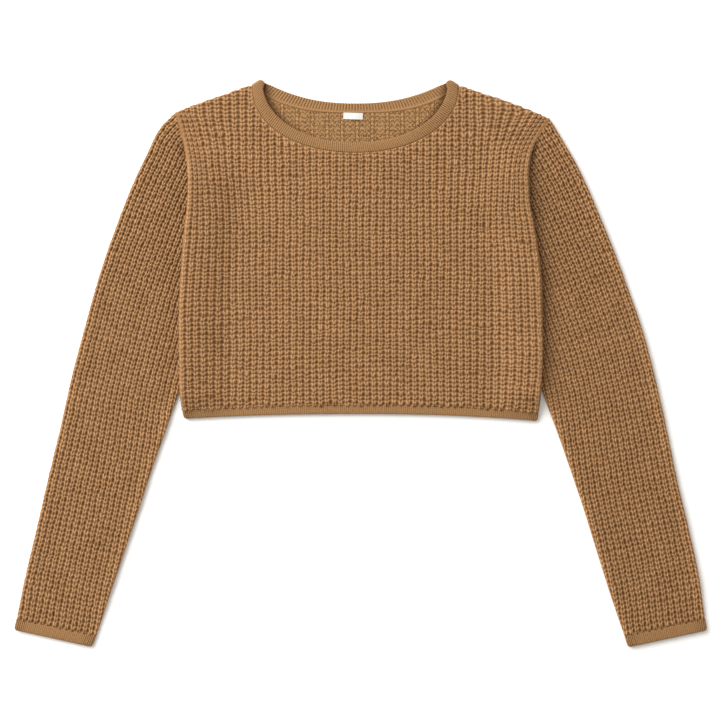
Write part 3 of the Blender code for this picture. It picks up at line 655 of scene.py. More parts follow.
def pressed(side, x, y):
    # how much thinner the sleeve is pressed beside and under the edge of the body
    beyond = signOf[side] * (x - sideX(y, side))
    reach = sleevePlan["pressedReach"][side]
    flat = sleevePlan["pressed"][side] * tuckSpan(y) * fall(beyond, -6.0, reach)
    # beside the shoulder the body is lifted less, so the sleeve's edge thins to pass under it
    room = bodyPlan["tuckLift"] * tuckSpan(y) - 1.0
    thinner = np.clip(sleevePlan["height"] - flat - room, 0.0, 3.4) * fall(beyond, 0.0, 10.0)
    flat = flat + thinner * smoothStep(y, 200.0, 210.0) * fall(y, 244.0, 262.0)
    return flat + creased(x, y) * smoothStep(beyond, 0.0, 20.0)


def makeSleeve(side, materials):
    # upper and lower layers of form + normal x stitch relief, plain inside, and rims at both ends
    knit = sleeveKnit
    courses = int(round(lengthAlong(sleeveSections[side][:, :2])[-1] / knit["course"]))
    soups, faces = [], {}
    for depth, rows, step in ((0.0, courses * 4 + 1, knit["wale"] / 6),
                              (bodyPlan["knitWall"], courses // 2 + 1, knit["wale"])):
        frameRows = sleeveFrame(side, rows)
        at, outer, _, width, closed, length = frameRows
        share = at / length
        thick = sleevePlan["height"] + sleevePlan["foldRise"] * smoothStep(share, 0.0, 0.15)
        radius = (thick - sleevePlan["cuffDrop"] * smoothStep(share, 0.93, 1.0)) / 2
        q = np.arange(0.0, width.max() + 12.0, step)[None, :] * np.ones((rows, 1))
        high = smoothStep(outer[:, 1], 20.0, 190.0)[:, None]     # ribs lie closer near the shoulder
        wider = 1.0 + knit["widen"] * smoothStep(share, 0.45, 0.85)[:, None]
        for layerSign in (1.0, -1.0):
            points, normal, qc, total, rise = sleevePoints(
                side, frameRows, q, layerSign, depth, np.minimum(radius, width * 0.9), radius)
            course = np.broadcast_to((length - at)[:, None] / knit["course"], qc.shape)
            wale, course = handKnit(layerSign * qc / (knit["wale"] * wider), course)
            wale = wale + 0.5
            fade = smoothStep(total - qc, 0.0, 3.0)
            if depth == 0.0:
                relief = loopRelief(wale, course, knit) * (1.5 - 0.5 * rise) * (1 + 0.15 * high)
                relief = (relief - 0.2) * fade
                if layerSign < 0:
                    relief = relief - knit["lift"] * rise * fade
                feet = hangingFeet(wale, course, np.arange(rows)[::-1]) * fade
                points = points + normal * (relief + 0.6 * feet)[..., None]
                points[..., :2] += (outer[-1] - outer[-5]) / knit["course"] * 1.5 * feet[..., None]
            points[..., 2] = np.maximum(points[..., 2], floorGap)
            # painted highlight: the yarn is made lighter near the outer and inner folds
            fromInner = total - qc + 30.0 * (1 - closed)[:, None]
            edgeHighlight = fall(np.minimum(qc, fromInner), 3.0, 15.0)
            shows = (0.45 + 0.55 * fade * (0.4 + 0.6 * rise)) * (1 + 0.2 * high)
            uv = withPaintedLight(wale, course, shows, edgeHighlight)
            faces[depth > 0, layerSign] = (points, uv, at, closed)
            soups.append((*sheetTriangles(points, uv), int(depth > 0), (layerSign > 0) != (depth > 0)))

    for layerSign in (1.0, -1.0):
        pair = faces[False, layerSign], faces[True, layerSign]
        # rim at the cuff
        (a, b), (au, bu) = [[face[k][-1] for face in pair] for k in (0, 1)]
        along = [np.linspace(0, 1, len(a)), np.linspace(0, 1, len(b))]
        soups.append((*zipTriangles(a, b, au, bu, *along), 0, layerSign < 0))
        # rim along the mouth, as far as the first row whose inner fold is closed
        lines = []
        for points, uv, at, closed in pair:
            last = int(np.argmax(closed >= 1.0))
            lines.append((points[:last + 1, -1], uv[:last + 1, -1], at[:last + 1] / at[last]))
        (a, au, aAt), (b, bu, bAt) = lines
        soups.append((*zipTriangles(a, b, au, bu, aAt, bAt), 0, layerSign > 0))
    return makeMesh("sleeve" + side.capitalize(), soups, materials)


# A band is a profile carried round a flattened tube

def bandProfile(width, wall, outerSteps, innerSteps):
    # share of the way from the seam to the free edge and depth in the wall, once round the band:
    # outer face, half circle at the free edge, inner face, half circle at the seam
    r = wall / 2
    turn = np.linspace(0.0, np.pi, 6)[1:-1]
    outer = np.linspace(r, width - r, outerSteps)
    inner = np.linspace(width - r, r, innerSteps)
    down = np.concatenate((outer, width - r + r * np.sin(turn), inner, r - r * np.sin(turn)))
    depth = np.concatenate((np.zeros(outerSteps), r - r * np.cos(turn), np.full(innerSteps, wall),
                            r + r * np.cos(turn)))
    return down / width, depth


def ringStations(upper, lower, outs, foldRadius, step):
    # Stations once round a flattened tube: a point on the seam and one on the free edge, the angle
    # round the fold and the way outwards. upper and lower give the seam and the free edge of each
    # layer as lines, outs the way outwards at the two folds.
    layers = []
    for lines, facing in ((upper, 0.0), (lower, np.pi)):
        along = lengthAlong((lines[0] + lines[1]) / 2)
        at = np.linspace(0.0, along[-1], int(round(along[-1] / step)) + 1)
        seam, edge = (np.stack([np.interp(at, along, line[:, k]) for k in (0, 1)], axis=-1) for line in lines)
        layers.append((seam, edge, np.full(len(at), facing), np.zeros((len(at), 2))))
    up, low = layers
    angle = np.linspace(0.0, np.pi, max(4, int(round(foldRadius * np.pi / step))) + 1)[1:-1]
    folds = []
    for end, out in ((-1, outs[1]), (0, outs[0])):
        seam, edge, out = (np.repeat(row[None], len(angle), axis=0) for row in (up[0][end], up[1][end], out))
        folds.append((seam, edge, angle, out))
    order = (up, folds[0], [part[::-1] for part in low], [part[::-1] for part in folds[1]])
    joined = [np.concatenate([part[k] for part in order]) for k in range(4)]
    which = np.concatenate([np.full(len(part[0]), k) for k, part in enumerate(order)])
    return (*joined, which)


def bandPoints(stations, profile, band, low, outs):
    # point = seam + share (edge - seam) + out (r - depth) sin(angle), z = middle + (h/2 - depth) cos(angle)
    seam, edge, angle, out, which = stations
    share, depth = profile
    height, width, corner = band["height"], band["width"], band["corner"]
    foldRadius = height / 2
    plan = seam[:, None] + (edge - seam)[:, None] * share[None, :, None]
    spread = (foldRadius - depth)[None, :] * np.sin(angle)[:, None]
    plan = plan + out[:, None] * spread[..., None]
    # the free edge's corners are rounded in plan, R - sqrt(R^2 - d^2) inwards near both folds
    gone = np.clip(share * width - (width - corner), 0.0, corner)
    pull = (corner - np.sqrt(corner ** 2 - gone ** 2 * 0.98))[None, :]
    for end, way in ((seam[which == 0][-1], outs[1]), (seam[which == 0][0], outs[0])):
        near = fall(np.linalg.norm(seam - end, axis=1), 0.0, 3.5 * corner)
        plan = plan - way * (near[:, None] * pull)[..., None]
    z = low(plan[..., 0], plan[..., 1]) + height / 2 + (height / 2 - depth)[None, :] * np.cos(angle)[:, None]
    return np.concatenate((plan, z[..., None]), axis=-1)


def gridNormals(points):
    # normals of a grid that closes both ways, from the neighbours on either side
    along = np.roll(points, -1, axis=0) - np.roll(points, 1, axis=0)
    across = np.roll(points, -1, axis=1) - np.roll(points, 1, axis=1)
    normal = np.cross(along, across)
    return normal / np.maximum(np.linalg.norm(normal, axis=-1, keepdims=True), 1e-9)


def closeRing(points, uv, uvStep):
    # repeat the first row and column at the end, with the pattern carried on
    points = np.concatenate((points, points[:1]), axis=0)
    points = np.concatenate((points, points[:, :1]), axis=1)
    lastRow = uv[-1:] + uvStep
    uv = np.concatenate((uv, lastRow), axis=0)
    uv = np.concatenate((uv, uv[:, -1:] + (uv[:, -1:] - uv[:, -2:-1])), axis=1)
    return points, uv


def makeBand(name, upper, lower, outs, band, low, materials):
    # ring of profiles + normal x rib relief, ribs = length round the ring / rib spacing
    stations = ringStations(upper, lower, outs, band["height"] / 2, band["step"])
    share, depth = bandProfile(band["width"], band["wall"], band["outerSteps"], band["innerSteps"])
    points = bandPoints(stations, (share, depth), band, low, outs)
    seam, edge, angle, out, which = stations
    middle = (seam + edge) / 2 + out * (band["height"] / 2) * np.sin(angle)[:, None]
    gone = np.linalg.norm(np.diff(np.concatenate((middle, middle[:1])), axis=0), axis=1)
    gone = np.maximum(gone, band["height"] / 2 * np.abs(np.diff(np.append(angle, angle[0]))))
    ribs = np.where(which == 2, gone / band["backRib"], gone / band["rib"])
    count = round(ribs.sum())
    at = np.concatenate(((0.0,), np.cumsum(ribs)[:-1])) * count / ribs.sum()
    slant = np.where(which == 2, 0.0, band["slant"])[:, None] * share[None, :]
    rib = np.cos(2 * np.pi * (at[:, None] + slant))
    normal = gridNormals(points)
    away = points - points.mean(axis=1, keepdims=True)
    normal = normal * np.sign((normal * away).sum(axis=-1).sum(axis=1))[:, None, None]
    nearEdge = smoothStep(share, 0.55, 0.95)[None, :]
    size = band["ribHeight"] + (band["edgeHeight"] - band["ribHeight"]) * nearEdge
    relief, strength, groove = band["surface"](rib, size, at, share, depth, which, stations)
    points = points + normal * relief[..., None]
    points[..., 2] = np.maximum(points[..., 2], floorGap)
    around = np.concatenate(((0.0,), np.cumsum(np.hypot(np.diff(share) * band["width"], np.diff(depth)))))
    uv = withPaintedLight(at[:, None] + slant, around[None, :], strength, groove)
    points, uv = closeRing(points, uv, np.array((at[1] - at[0], 0.0, 0.0, 0.0)))
    uv[-1, :, 0] = count + uv[0, :, 0]
    return makeMesh(name, [(*sheetTriangles(points, uv), 0, False)], materials)


def tuckShadeMask(x, y):
    # mask for painted shade, 1 beside the front neckband's free edge towards the neck points, where the
    # layers close on each other and little light gets in: side exp(-(distance to the edge / reach)^2)
    fromMiddleX = np.abs(x - neckPlan["x"])
    away = lineDistance(x, y, neckCurves("front", np.linspace(0.0, 1.0, 121))[1])
    reach = 2.6 + 4.2 * smoothStep(fromMiddleX, 78.0, 102.0) + np.where(x < neckPlan["x"], 1.4, 0.0)
    return smoothStep(fromMiddleX, 35.0, 100.0) * hump(away, reach)


def plainRib(rib, size, at, share, depth, which, stations):
    # (cos(2 pi ribs) - 1) x height, a little stronger at the corners and along the free edge
    seam = stations[0]
    fromEnd = np.minimum(np.linalg.norm(seam - seam[which == 0][0], axis=1),
                         np.linalg.norm(seam - seam[which == 0][-1], axis=1))
    corner = 1.0 + 1.2 * fall(fromEnd, 2.0, 14.0)[:, None]
    # how dark the painted shade in the grooves is
    groove = (0.55 + 0.3 * smoothStep(share, 0.75, 0.98)[None, :]) * corner
    return (rib - 1.0) * size * corner, np.ones_like(groove), groove


def neckRib(rib, size, at, share, depth, which, stations):
    # Doubled rib, smooth at the neck points. Its back layer has deeper ribs on the inside and a
    # raised linking ridge along the seam.
    fromPoint = np.abs(stations[0][:, 0] - neckPlan["x"])
    tips = 1.0 - 0.30 * smoothStep(fromPoint, neckPlan["seamHalf"] - 9.0, neckPlan["seamHalf"] - 1.0)[:, None]
    back = (which == 2)[:, None].astype(float)
    inside = smoothStep(depth, 0.3 * neckPlan["wall"], 0.7 * neckPlan["wall"])[None, :]
    backInside = back * inside
    down = share[None, :] * neckPlan["band"]
    ridge = hump(down - 0.9, 0.75) * backInside
    plain = smoothStep(down, 1.6, 4.2) * backInside + (1 - backInside)
    chain = 0.5 + 0.5 * np.cos(2 * np.pi * at * neckPlan["backRib"] / 2.6)[:, None]
    crown = 0.45 * np.sin(np.pi * np.clip(share, 0, 1))[None, :]
    narrow = 1.0 - 2.0 * np.clip(0.5 - 0.5 * rib, 0.0, 1.0) ** 3      # wide ribs, narrow grooves
    ribs = back * (narrow - 1.0) + (1 - back) * (rib - 1.0)
    relief = ribs * size * (1 + 0.5 * backInside) * tips * plain
    relief = relief + ridge * (0.75 + 0.25 * chain) + crown * (1 - backInside)
    # the band turns fastest at its sides, and its ribs open there; towards the right the grooves are darker,
    # painted shade for the side turned from the light
    opened = smoothStep(fromPoint / neckPlan["seamHalf"], 0.35, 0.9)[:, None] * (1 - back)
    rightShade = smoothStep(stations[0][:, 0], 0.0, 90.0)[:, None]
    groove = (0.55 + 0.05 * backInside + opened * (0.15 + 0.45 * rightShade)) * tips * plain
    groove = groove + 0.3 * ridge * (1 - chain)
    seam, edge = stations[:2]
    place = seam[:, None] + (edge - seam)[:, None] * share[None, :, None]
    # the second value is the share left without painted shade on the back layer's inside near the neck points
    return relief, 1.0 - 0.85 * tuckShadeMask(place[..., 0], place[..., 1]) * backInside, groove


def hemLines():
    # seam and free edge of the hem band, from side fold to side fold
    t = np.linspace(0.0, 1.0, 400)
    lines = []
    for drop in (hemPlan["band"] + 0.2, 0.0):
        left = float(sideX(hemY(-204.0) + drop, "left")) + hemPlan["height"] / 2
        right = float(sideX(hemY(204.0) + drop, "right")) - hemPlan["height"] / 2
        x = left + (right - left) * t
        lines.append(np.stack((x, hemY(x) + drop), axis=-1))
    return lines


def cuffLines(side):
    # seam and free edge of a cuff, straight from its inner fold to its outer fold
    top, end = sleeveSections[side][-1], cuffEnd[side]
    rows = np.stack((top, end))
    out = rows[:, :2] - rows[:, 2:]
    out = out / np.linalg.norm(out, axis=1, keepdims=True)
    outer = rows[:, :2] - out * 2.7
    inner = rows[:, 2:] + out * 2.7
    t = np.linspace(0.0, 1.0, 60)[:, None]
    lines = [inner[k] + (outer[k] - inner[k]) * t for k in (0, 1)]
    return lines, out[1]


def flatLow(x, y):
    # underside of a band that lies on the surface
    return np.zeros_like(x)


def neckFold(side):
    # seam and free edge at a neck point, and the way outwards at right angles to them
    n = neckPlan
    sign = signOf[side]
    seam = np.array((n["x"] + sign * n["seamHalf"], n["seamEndY"]))
    edge = np.array((n["x"] + sign * n["edgeHalf"], n["edgeEndY"] + 1.0))
    along = (edge - seam) / np.linalg.norm(edge - seam)
    out = np.array((-along[1], along[0])) * -sign
    inwards = n["height"] / 2 - np.array(n["pointOut"][side])[:, None]
    return np.stack((seam + along * n["pointGap"], edge)) - out * inwards, out


def neckLines(layer):
    # the neckband's curves, led smoothly into the folds at both neck points
    t = np.linspace(0.0, 1.0, 601)
    seam, edge = neckCurves(layer, t)
    folds = [neckFold("left")[0], neckFold("right")[0]]
    ends = smoothStep(np.abs(2 * t - 1), 0.93, 1.0)[:, None]
    lines = []
    for k, line in enumerate((seam, edge)):
        target = np.where((t < 0.5)[:, None], folds[0][k], folds[1][k])
        start = np.where((t < 0.5)[:, None], line[0], line[-1])
        lines.append(line + (target - start) * ends)
    return lines


def toLinear(hexColour):
    # sRGB hex to linear light
    value = np.array([int(hexColour[i:i + 2], 16) for i in (1, 3, 5)]) / 255.0
    linear = np.where(value <= 0.04045, value / 12.92, ((value + 0.055) / 1.055) ** 2.4)
    return (*[float(c) for c in linear], 1.0)


# the setting that the word after a node's kind goes to, as in "Math ADD"
wordSets = {"Math": "operation", "VectorMath": "operation", "MapRange": "interpolation_type",
            "Mix": "data_type", "UVMap": "uv_map"}


def newMaterial(name):
    # an empty node material, and the function that adds a node to it
    material = bpy.data.materials.new(name)
    material.use_nodes = True
    tree = material.node_tree
    tree.nodes.clear()

    def add(kind, *values, out=0, **settings):
        # add a node with its settings, its values and its links, and hand back one output
        kind, _, word = kind.partition(" ")
        made = tree.nodes.new("ShaderNode" + kind)
        if word:
            settings[wordSets[kind]] = word
        for key, value in settings.items():
            setattr(made, key, value)
        named = values and isinstance(values[0], dict)
        sockets = values[0] if named else dict(enumerate(values))
        for key, value in sockets.items():
            if isinstance(value, bpy.types.NodeSocket):
                tree.links.new(value, made.inputs[key])
            else:
                made.inputs[key].default_value = value
        return made if out is None else made.outputs[out]

    return material, add


def slipped(add, scale, size):
    # the stitches' coordinates, and the same pushed about by soft noise
    uv = add("UVMap stitches")
    drift = add("TexNoise", {"Vector": uv, "Scale": scale, "Detail": 2.0}, out="Color")
    drift = add("VectorMath SUBTRACT", drift, (0.5, 0.5, 0.5))
    return uv, add("VectorMath ADD", uv, add("VectorMath MULTIPLY", drift, size))


def yarnSurface(add, look, tone, recessShade, height, ends, bump, sheen, rough, closed=None, lighter=None):
    # Matt spun yarn: mid to light by tone, mixed to deep brown as painted shade in recesses and in closed-in
    # places, soft sheen
    deep = toLinear(look["deep"])
    ramp = add("ValToRGB", tone, out=None)
    for element, position, shade in zip(ramp.color_ramp.elements, ends, ("mid", "light")):
        element.position, element.color = position, toLinear(look[shade])
    colour = add("Mix RGBA", {0: recessShade, 6: ramp.outputs[0], 7: deep}, out=2)
    # painted shade: where closed is below 1 the colour is mixed to deep brown
    if closed:
        paintedShadeShare = add("Math SUBTRACT", 1.0, closed)
        colour = add("Mix RGBA", {0: paintedShadeShare, 6: colour, 7: deep}, out=2)
    if lighter:
        colour = add("VectorMath SCALE", {0: colour, 3: lighter})
    normal = add("Bump", {"Height": height, "Strength": bump[0], "Distance": bump[1]})
    shader = add("BsdfPrincipled", {
        "Base Color": colour, "Roughness": rough, "IOR": 1.5, "Normal": normal,
        "Specular IOR Level": 0.2, "Sheen Weight": sheen, "Sheen Roughness": 0.5,
        "Sheen Tint": toLinear(look["light"])})
    add("OutputMaterial", shader, out=None)


def loopYarn(name, knit, look):
    # Soft spun yarn in half-cardigan rib: matt, with a light nap. Legs of the loops are painted lighter where
    # they would catch light, a painted highlight, and the holes between wales are painted deep brown, painted
    # shade over the relief's own.
    material, add = newMaterial(name)
    uv, place = slipped(add, 1.1, (0.26, 0.40, 0.0))
    finish = add("SeparateXYZ", add("UVMap finish"), out=None).outputs
    axes = add("SeparateXYZ", place, out=None).outputs
    u = add("Math PINGPONG", axes[0], 0.5)
    between = add("Math SUBTRACT", 0.5, u)
    # one random number for each stitch
    stitch = add("VectorMath FLOOR", add("VectorMath ADD", place, (0.5, 0.0, 0.0)))
    luck = add("TexWhiteNoise", {"Vector": stitch}, out="Value", noise_dimensions="3D")

    def courseFrom(at, middle):
        # share of a course above the place named at, less the middle
        share = add("Math FRACT", add("Math ADD", axes[1], middle - at))
        return add("Math SUBTRACT", share, middle)

    def blot(side, h, wide, skew, tall, strength):
        # soft spot with half width = wide (1 - skew h) and half height = tall
        across = add("Math MAXIMUM", add("Math MULTIPLY_ADD", h, -wide * skew, wide), 0.02)
        across = add("MapRange SMOOTHSTEP", add("Math DIVIDE", side, across), 0.45, 1.25, strength, 0.0)
        upwards = add("Math ABSOLUTE", add("Math DIVIDE", h, tall))
        upwards = add("MapRange SMOOTHSTEP", upwards, 0.6, 1.25, 1.0, 0.0)
        return add("Math MULTIPLY", across, upwards)

    # the two legs of a loop, painted lighter as a painted highlight, brightest half way up
    s = courseFrom(knit["armAt"], 0.0)
    half = knit["armLong"] / 2
    offLeg = add("Math SUBTRACT", u, add("Math MULTIPLY_ADD", s, knit["armSpread"], knit["armFoot"]))
    yarn = add("MapRange SMOOTHSTEP", add("Math ABSOLUTE", offLeg), 0.02, look["yarnWide"], 1.0, 0.0)
    upLeg = add("Math ABSOLUTE", add("Math SUBTRACT", s, half))
    upLeg = add("MapRange SMOOTHSTEP", upLeg, half / 2, half + 0.1, 1.0, 0.0)
    upLeg = add("Math MULTIPLY", upLeg, add("MapRange", luck, 0.0, 1.0, 0.55, 1.2))
    stroke = add("Math MULTIPLY", yarn, upLeg)
    # painted shade in the hole between wales, the groove that joins the holes, the dip over each loop's legs
    # and the valley down the middle of a wale
    hole = blot(between, courseFrom(knit["holeAt"], 0.5), knit["holeWide"] * look["holeSpread"],
                knit["holeSkew"], knit["holeTall"], look["hole"])
    gap = add("MapRange SMOOTHSTEP", between, 0.0, look["gapWide"], look["gap"], 0.0)
    dot = blot(u, courseFrom(knit["dotAt"], 0.5), knit["dotWide"], -0.8, knit["dotTall"], look["dot"])
    valley = add("MapRange SMOOTHSTEP", u, 0.0, 0.13, look["valley"], 0.0)
    recessShade = hole
    for other in (gap, dot, valley):
        recessShade = add("Math MAXIMUM", recessShade, other)
    # less painted shade under a bright stroke, by chance from stitch to stitch, and where the stitches fade
    cover = add("Math MULTIPLY_ADD", stroke, -0.5, 1.0)
    for share in (cover, add("MapRange", luck, 0.0, 1.0, 1.0, 0.7), finish[0]):
        recessShade = add("Math MULTIPLY", recessShade, share)
    # spun fibres, in millimetres of cloth
    cloth = add("VectorMath MULTIPLY", uv, (knit["wale"], knit["course"], 1.0))
    fibre = add("TexNoise", {"Vector": cloth, "Scale": 1.1, "Detail": 4.0, "Roughness": 0.7})
    dyeAndHighlight = add("TexNoise", {"Vector": cloth, "Scale": 0.03, "Detail": 2.0})
    tone = add("Math MULTIPLY_ADD", fibre, 1.1, add("Math MULTIPLY_ADD", stroke, 0.85, -0.27))
    # patches of dye, and a painted highlight that makes the folds and edges lighter
    dyeAndHighlight = add("MapRange", dyeAndHighlight, 0.3, 0.7, 0.95, 1.05)
    dyeAndHighlight = add("Math MULTIPLY", dyeAndHighlight, add("Math MULTIPLY_ADD", finish[1], look["edgeHighlight"], 1.0))
    height = add("Math MULTIPLY_ADD", fibre, 0.8, add("Math MULTIPLY_ADD", recessShade, -0.8, stroke))
    yarnSurface(add, look, tone, recessShade, height, (0.15, 1.0), (0.8, 0.0006), 0.35, 0.88, lighter=dyeAndHighlight)
    return material


def ribYarn(name, look):
    # The same yarn knitted in a fine, tight rib. U counts ribs and V is millimetres down the band.
    material, add = newMaterial(name)
    uv = add("UVMap stitches")
    axes = add("SeparateXYZ", uv, out=None).outputs
    finish = add("SeparateXYZ", add("UVMap finish"), out=None).outputs
    cloth = add("VectorMath MULTIPLY", uv, (look["rib"], 1.0, 1.0))
    fibre = add("TexNoise", {"Vector": cloth, "Scale": 1.2, "Detail": 4.0, "Roughness": 0.75})
    uneven = add("TexNoise", {"Vector": cloth, "Scale": 0.45, "Detail": 2.0})
    # painted shade in the grooves between the ribs, uneven along them
    groove = add("MapRange SMOOTHSTEP", add("Math PINGPONG", axes[0], 0.5), 0.22, 0.5, 0.0, 1.0)
    for share in (finish[1], add("MapRange", uneven, 0.35, 0.65, 0.45, 1.35)):
        groove = add("Math MULTIPLY", groove, share)
    stitch = add("Math PINGPONG", add("Math DIVIDE", axes[1], look["stitch"]), 0.5)
    tone = add("Math MULTIPLY_ADD", stitch, 0.25, add("Math MULTIPLY_ADD", fibre, 1.9, -0.45))
    height = add("Math MULTIPLY_ADD", groove, -1.0, fibre)
    # the second UV map's first value sets the painted shade near the neck points
    yarnSurface(add, look, tone, groove, height, (0.2, 0.95), (0.6, 0.0004), 0.3, 0.88, closed=finish[0])
    return material


def wrongSideYarn(name, knit, look):
    # The wrong side of the same yarn: light upright ridges with a fine herringbone of slanting
    # half loops between them, matt and a little darker than the outside.
    material, add = newMaterial(name)
    uv, place = slipped(add, 2.4, (0.42, 1.5, 0.0))
    axes = add("SeparateXYZ", place, out=None).outputs
    every = wrongSide["ridgeEvery"]
    ridge = add("Math PINGPONG", axes[0], every / 2)
    light = add("MapRange SMOOTHSTEP", ridge, 0.04, 0.17, 1.0, 0.0)
    # painted shade: dotted dark lines beside the ridges
    beside = add("Math ABSOLUTE", add("Math SUBTRACT", ridge, 0.27))
    beside = add("MapRange SMOOTHSTEP", beside, 0.0, 0.12, 0.6, 0.0)
    dotted = add("MapRange", add("Math PINGPONG", axes[1], 0.5), 0.05, 0.35, 1.6, 0.35)
    beside = add("Math MULTIPLY", beside, dotted)
    # strokes that lean one way and the other, with dark dots of painted shade where two of them part
    slant = add("Math MULTIPLY_ADD", add("Math PINGPONG", axes[0], every / 6), 1.5, axes[1])
    slant = add("Math PINGPONG", slant, 0.5)
    stroke = add("MapRange SMOOTHSTEP", slant, 0.05, 0.45, 0.0, 1.0)
    parting = add("MapRange SMOOTHSTEP", slant, 0.0, 0.18, 0.6, 0.0)
    recessShade = add("Math MAXIMUM", parting, beside)
    upright = add("VectorMath MULTIPLY", uv, (knit["wale"], 0.45 * knit["course"], 1.0))
    fibre = add("TexNoise", {"Vector": upright, "Scale": 0.75, "Detail": 4.0, "Roughness": 0.75})
    tone = -1.15
    for part, share in ((stroke, 0.4), (light, 0.25), (fibre, 2.9)):
        tone = add("Math MULTIPLY_ADD", part, share, tone)
    height = add("Math MULTIPLY_ADD", recessShade, -1.0, tone)
    # the second UV map's first value sets the painted shade on the back's inside near the neck points
    finish = add("SeparateXYZ", add("UVMap finish"))
    yarnSurface(add, look, tone, recessShade, height, (0.1, 0.95), (0.8, 0.0005), 0.2, 0.9, closed=finish)
    return material


def satinTape(name):
    # White woven satin: fine warp threads that run along the tape, with a soft gloss
    material, add = newMaterial(name)
    uv = add("UVMap stitches")
    weave = add("TexWave", {"Vector": uv, "Scale": 2.2, "Distortion": 0.6}, bands_direction="Y")
    bump = add("Bump", {"Height": weave, "Strength": 0.25, "Distance": 0.0001})
    ramp = add("ValToRGB", weave, out=None)
    for element, shade in zip(ramp.color_ramp.elements, ("#C4C2BF", "#D8D7D5")):
        element.color = toLinear(shade)
    shader = add("BsdfPrincipled", {"Base Color": ramp.outputs[0], "Roughness": 0.42, "IOR": 1.5,
                                    "Normal": bump, "Sheen Weight": 0.1})
    add("OutputMaterial", shader, out=None)
    return material


# deep is the colour of painted shade in holes, grooves and closed-in places
# the last value of bodyLook sets the painted highlight on folds and edges
bodyLook = {"light": "#B6926A", "mid": "#845B36", "deep": "#4C2E0F", "holeSpread": 1.12, "hole": 0.93,
            "gap": 0.32, "gapWide": 0.16, "dot": 0.90, "valley": 0.10, "yarnWide": 0.11, "edgeHighlight": 0.15}
sleeveLook = dict(bodyLook, hole=0.98, gap=0.50, valley=0.32, edgeHighlight=0.22)
reverseLook = {"light": "#AC8459", "mid": "#745331", "deep": "#442A12"}
bandLook = {"light": "#AA8359", "mid": "#755331", "deep": "#462A12", "rib": 2.2, "stitch": 2.0}

bodyYarn = loopYarn("camelYarnHalfCardigan", bodyKnit, bodyLook)
sleeveYarn = loopYarn("camelYarnHalfCardiganSleeve", sleeveKnit, sleeveLook)
reverseYarn = wrongSideYarn("camelYarnWrongSide", bodyKnit, reverseLook)
bandYarn = ribYarn("camelYarnFineRib", bandLook)
neckYarn = ribYarn("camelYarnNeckRib", dict(bandLook, rib=2.8))
print("materials made")

frontPanel = makePanel("front", 6, [bodyYarn, reverseYarn])
backPanel = makePanel("back", 5, [bodyYarn, reverseYarn])
sleeveLeft = makeSleeve("left", [sleeveYarn, reverseYarn])
sleeveRight = makeSleeve("right", [sleeveYarn, reverseYarn])

hemBand = {"width": hemPlan["band"], "wall": hemPlan["wall"], "height": hemPlan["height"],
           "rib": 2.2, "backRib": 2.2, "step": 0.5, "outerSteps": 8, "innerSteps": 3,
           "ribHeight": 0.08, "edgeHeight": 0.18, "corner": 3.0, "slant": 0.0,
           "surface": plainRib}
sidewaysOut = (np.array((-1.0, 0.0)), np.array((1.0, 0.0)))
hem = makeBand("hemBand", hemLines(), hemLines(), sidewaysOut, hemBand, bodyLow, [bandYarn])
cuffs = {}
for side in ("left", "right"):
    lines, out = cuffLines(side)
    band = dict(hemBand, width=13.0, corner=3.2)
    cuffs[side] = makeBand("cuff" + side.capitalize(), lines, lines, (-out, out), band, flatLow, [bandYarn])
neckBandLook = dict(hemBand, width=neckPlan["band"], wall=neckPlan["wall"], height=neckPlan["height"],
                    rib=neckPlan["rib"], backRib=neckPlan["backRib"], outerSteps=9, innerSteps=12,
                    ribHeight=0.22, edgeHeight=0.26, corner=4.0, slant=0.7,
                    surface=neckRib)
neck = makeBand("neckBand", neckLines("front"), neckLines("back"),
                (neckFold("left")[1], neckFold("right")[1]), neckBandLook, flatLow, [neckYarn])


labelPlan = {"size": (22.4, 7.6), "place": (-8.5, 285.4), "turn": math.radians(-1.5),
             "low": 2.9, "thick": 0.4}


def makeLabel():
    # a thin plate with a stitched box pressed into it
    wide, tall = labelPlan["size"]
    t = np.linspace(-1.0, 1.0, 61)
    s = np.linspace(-1.0, 1.0, 25)
    x, y = np.meshgrid(t * wide / 2, s * tall / 2)
    lift = 0.35 * (1 - (x / (wide / 2)) ** 2) + 0.15 * np.sin(x / 3.1)
    box = np.minimum(wide / 2 - 1.3 - np.abs(x), tall / 2 - 1.3 - np.abs(y))
    stitch = 0.12 * hump(box, 0.25)
    cos, sin = math.cos(labelPlan["turn"]), math.sin(labelPlan["turn"])
    px = labelPlan["place"][0] + cos * x - sin * y
    py = labelPlan["place"][1] + sin * x + cos * y
    top = np.stack((px, py, labelPlan["low"] + labelPlan["thick"] + lift - stitch), axis=-1)
    bottom = np.stack((px, py, labelPlan["low"] + lift), axis=-1)
    uv = withPaintedLight(x, y, 1.0)
    soups = [(*sheetTriangles(top, uv), 0, False), (*sheetTriangles(bottom, uv), 0, True)]
    for pick, turn in (((0, slice(None)), True), ((-1, slice(None)), False),
                       ((slice(None), 0), False), ((slice(None), -1), True)):
        rim = np.stack((top[pick], bottom[pick]))
        soups.append((*sheetTriangles(rim, np.stack((uv[pick], uv[pick]))), 0, turn))
    return makeMesh("labelTape", soups, [satinTape("whiteSatinTape")])


label = makeLabel()
print("pieces made")

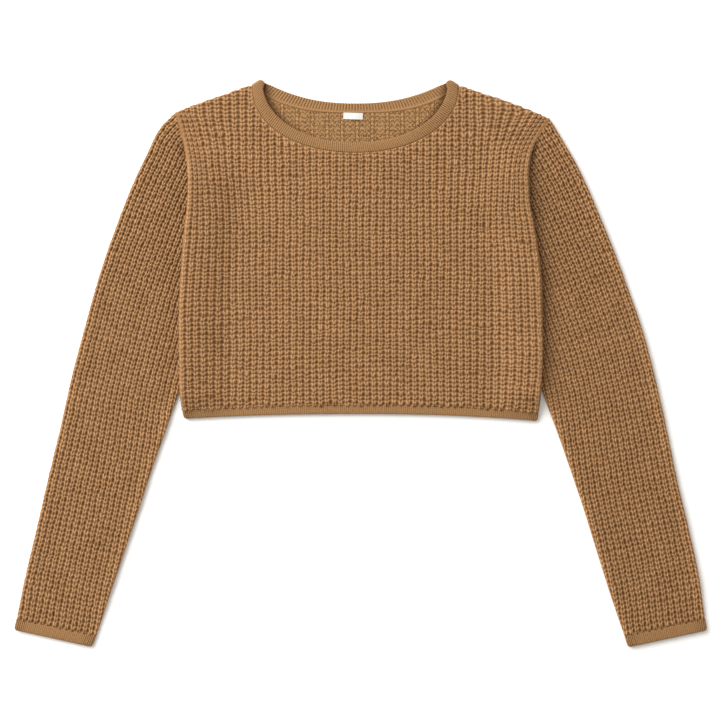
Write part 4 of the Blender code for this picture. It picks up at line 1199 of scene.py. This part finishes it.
pieces = (
    (frontPanel, "front", "main_knit", (0.43, 0.375), 0.135, ["back"]),
    (backPanel, "back", "main_knit", (0.43, 0.375), 0.142, ["floor"]),
    (sleeveLeft, "sleeve_left", "main_knit", (0.31, 0.62), 0.13, ["floor"]),
    (sleeveRight, "sleeve_right", "main_knit", (0.31, 0.62), 0.13, ["floor"]),
    (hem, "hem_band", "fine_rib", (0.82, 0.0115), None, ["floor"]),
    (cuffs["left"], "cuff_left", "fine_rib", (0.187, 0.014), None, ["floor"]),
    (cuffs["right"], "cuff_right", "fine_rib", (0.187, 0.014), None, ["floor"]),
    (neck, "neckband", "fine_rib", (0.60, 0.0145), None, ["floor"]),
    (label, "label", "satin", (0.0224, 0.0102), None, ["backPanel"]),
)

floorMesh = bpy.data.meshes.new("floor")
far = 6.0                      # metres from the middle to each edge
floorMesh.from_pydata([(-far, -far, 0), (far, -far, 0), (far, far, 0), (-far, far, 0)], [], [(0, 1, 2, 3)])
floor = bpy.data.objects.new("floor", floorMesh)
bpy.context.scene.collection.objects.link(floor)
paperWhite, add = newMaterial("paleStudioPaper")    # matt, with hardly any gloss
add("OutputMaterial", add("BsdfPrincipled", {
    "Base Color": (0.93, 0.93, 0.93, 1.0), "Roughness": 0.9, "Specular IOR Level": 0.1}), out=None)
floorMesh.materials.append(paperWhite)

for piece, nodeName, slotName, flat, area, restsOn in pieces:
    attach(piece, "root")
    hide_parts(nodeName)

# A pale room and one round softbox high on the upper left, near enough to fall off a little
studio = {"sky": 0.70, "power": 188.0, "size": 3.4, "far": 3.15, "from": (-0.64, 0.55, 0.54)}
world = bpy.data.worlds.new("studio")
bpy.context.scene.world = world
world.use_nodes = True
world.node_tree.nodes["Background"].inputs[0].default_value = toLinear("#FFFBF5")
world.node_tree.nodes["Background"].inputs[1].default_value = studio["sky"]
lamp = bpy.data.lights.new("softbox", "AREA")
lamp.shape = "DISK"
lamp.size = studio["size"]
lamp.energy = studio["power"]
softbox = bpy.data.objects.new("softbox", lamp)
toLight = Vector(studio["from"]).normalized()
softbox.location = toLight * studio["far"]
softbox.rotation_euler = toLight.to_track_quat("Z", "Y").to_euler()
bpy.context.scene.collection.objects.link(softbox)

cameraPlan = {"lens": 100.0, "sensor": 36.0, "height": 2.306, "x": -0.0006, "y": 0.0046}
lens = bpy.data.cameras.new("overhead")
lens.lens = cameraPlan["lens"]
lens.sensor_width = cameraPlan["sensor"]
camera = bpy.data.objects.new("overhead", lens)
camera.location = (cameraPlan["x"], cameraPlan["y"], cameraPlan["height"])
bpy.context.scene.collection.objects.link(camera)
bpy.context.scene.camera = camera
bpy.context.scene.view_settings.view_transform = "Standard"
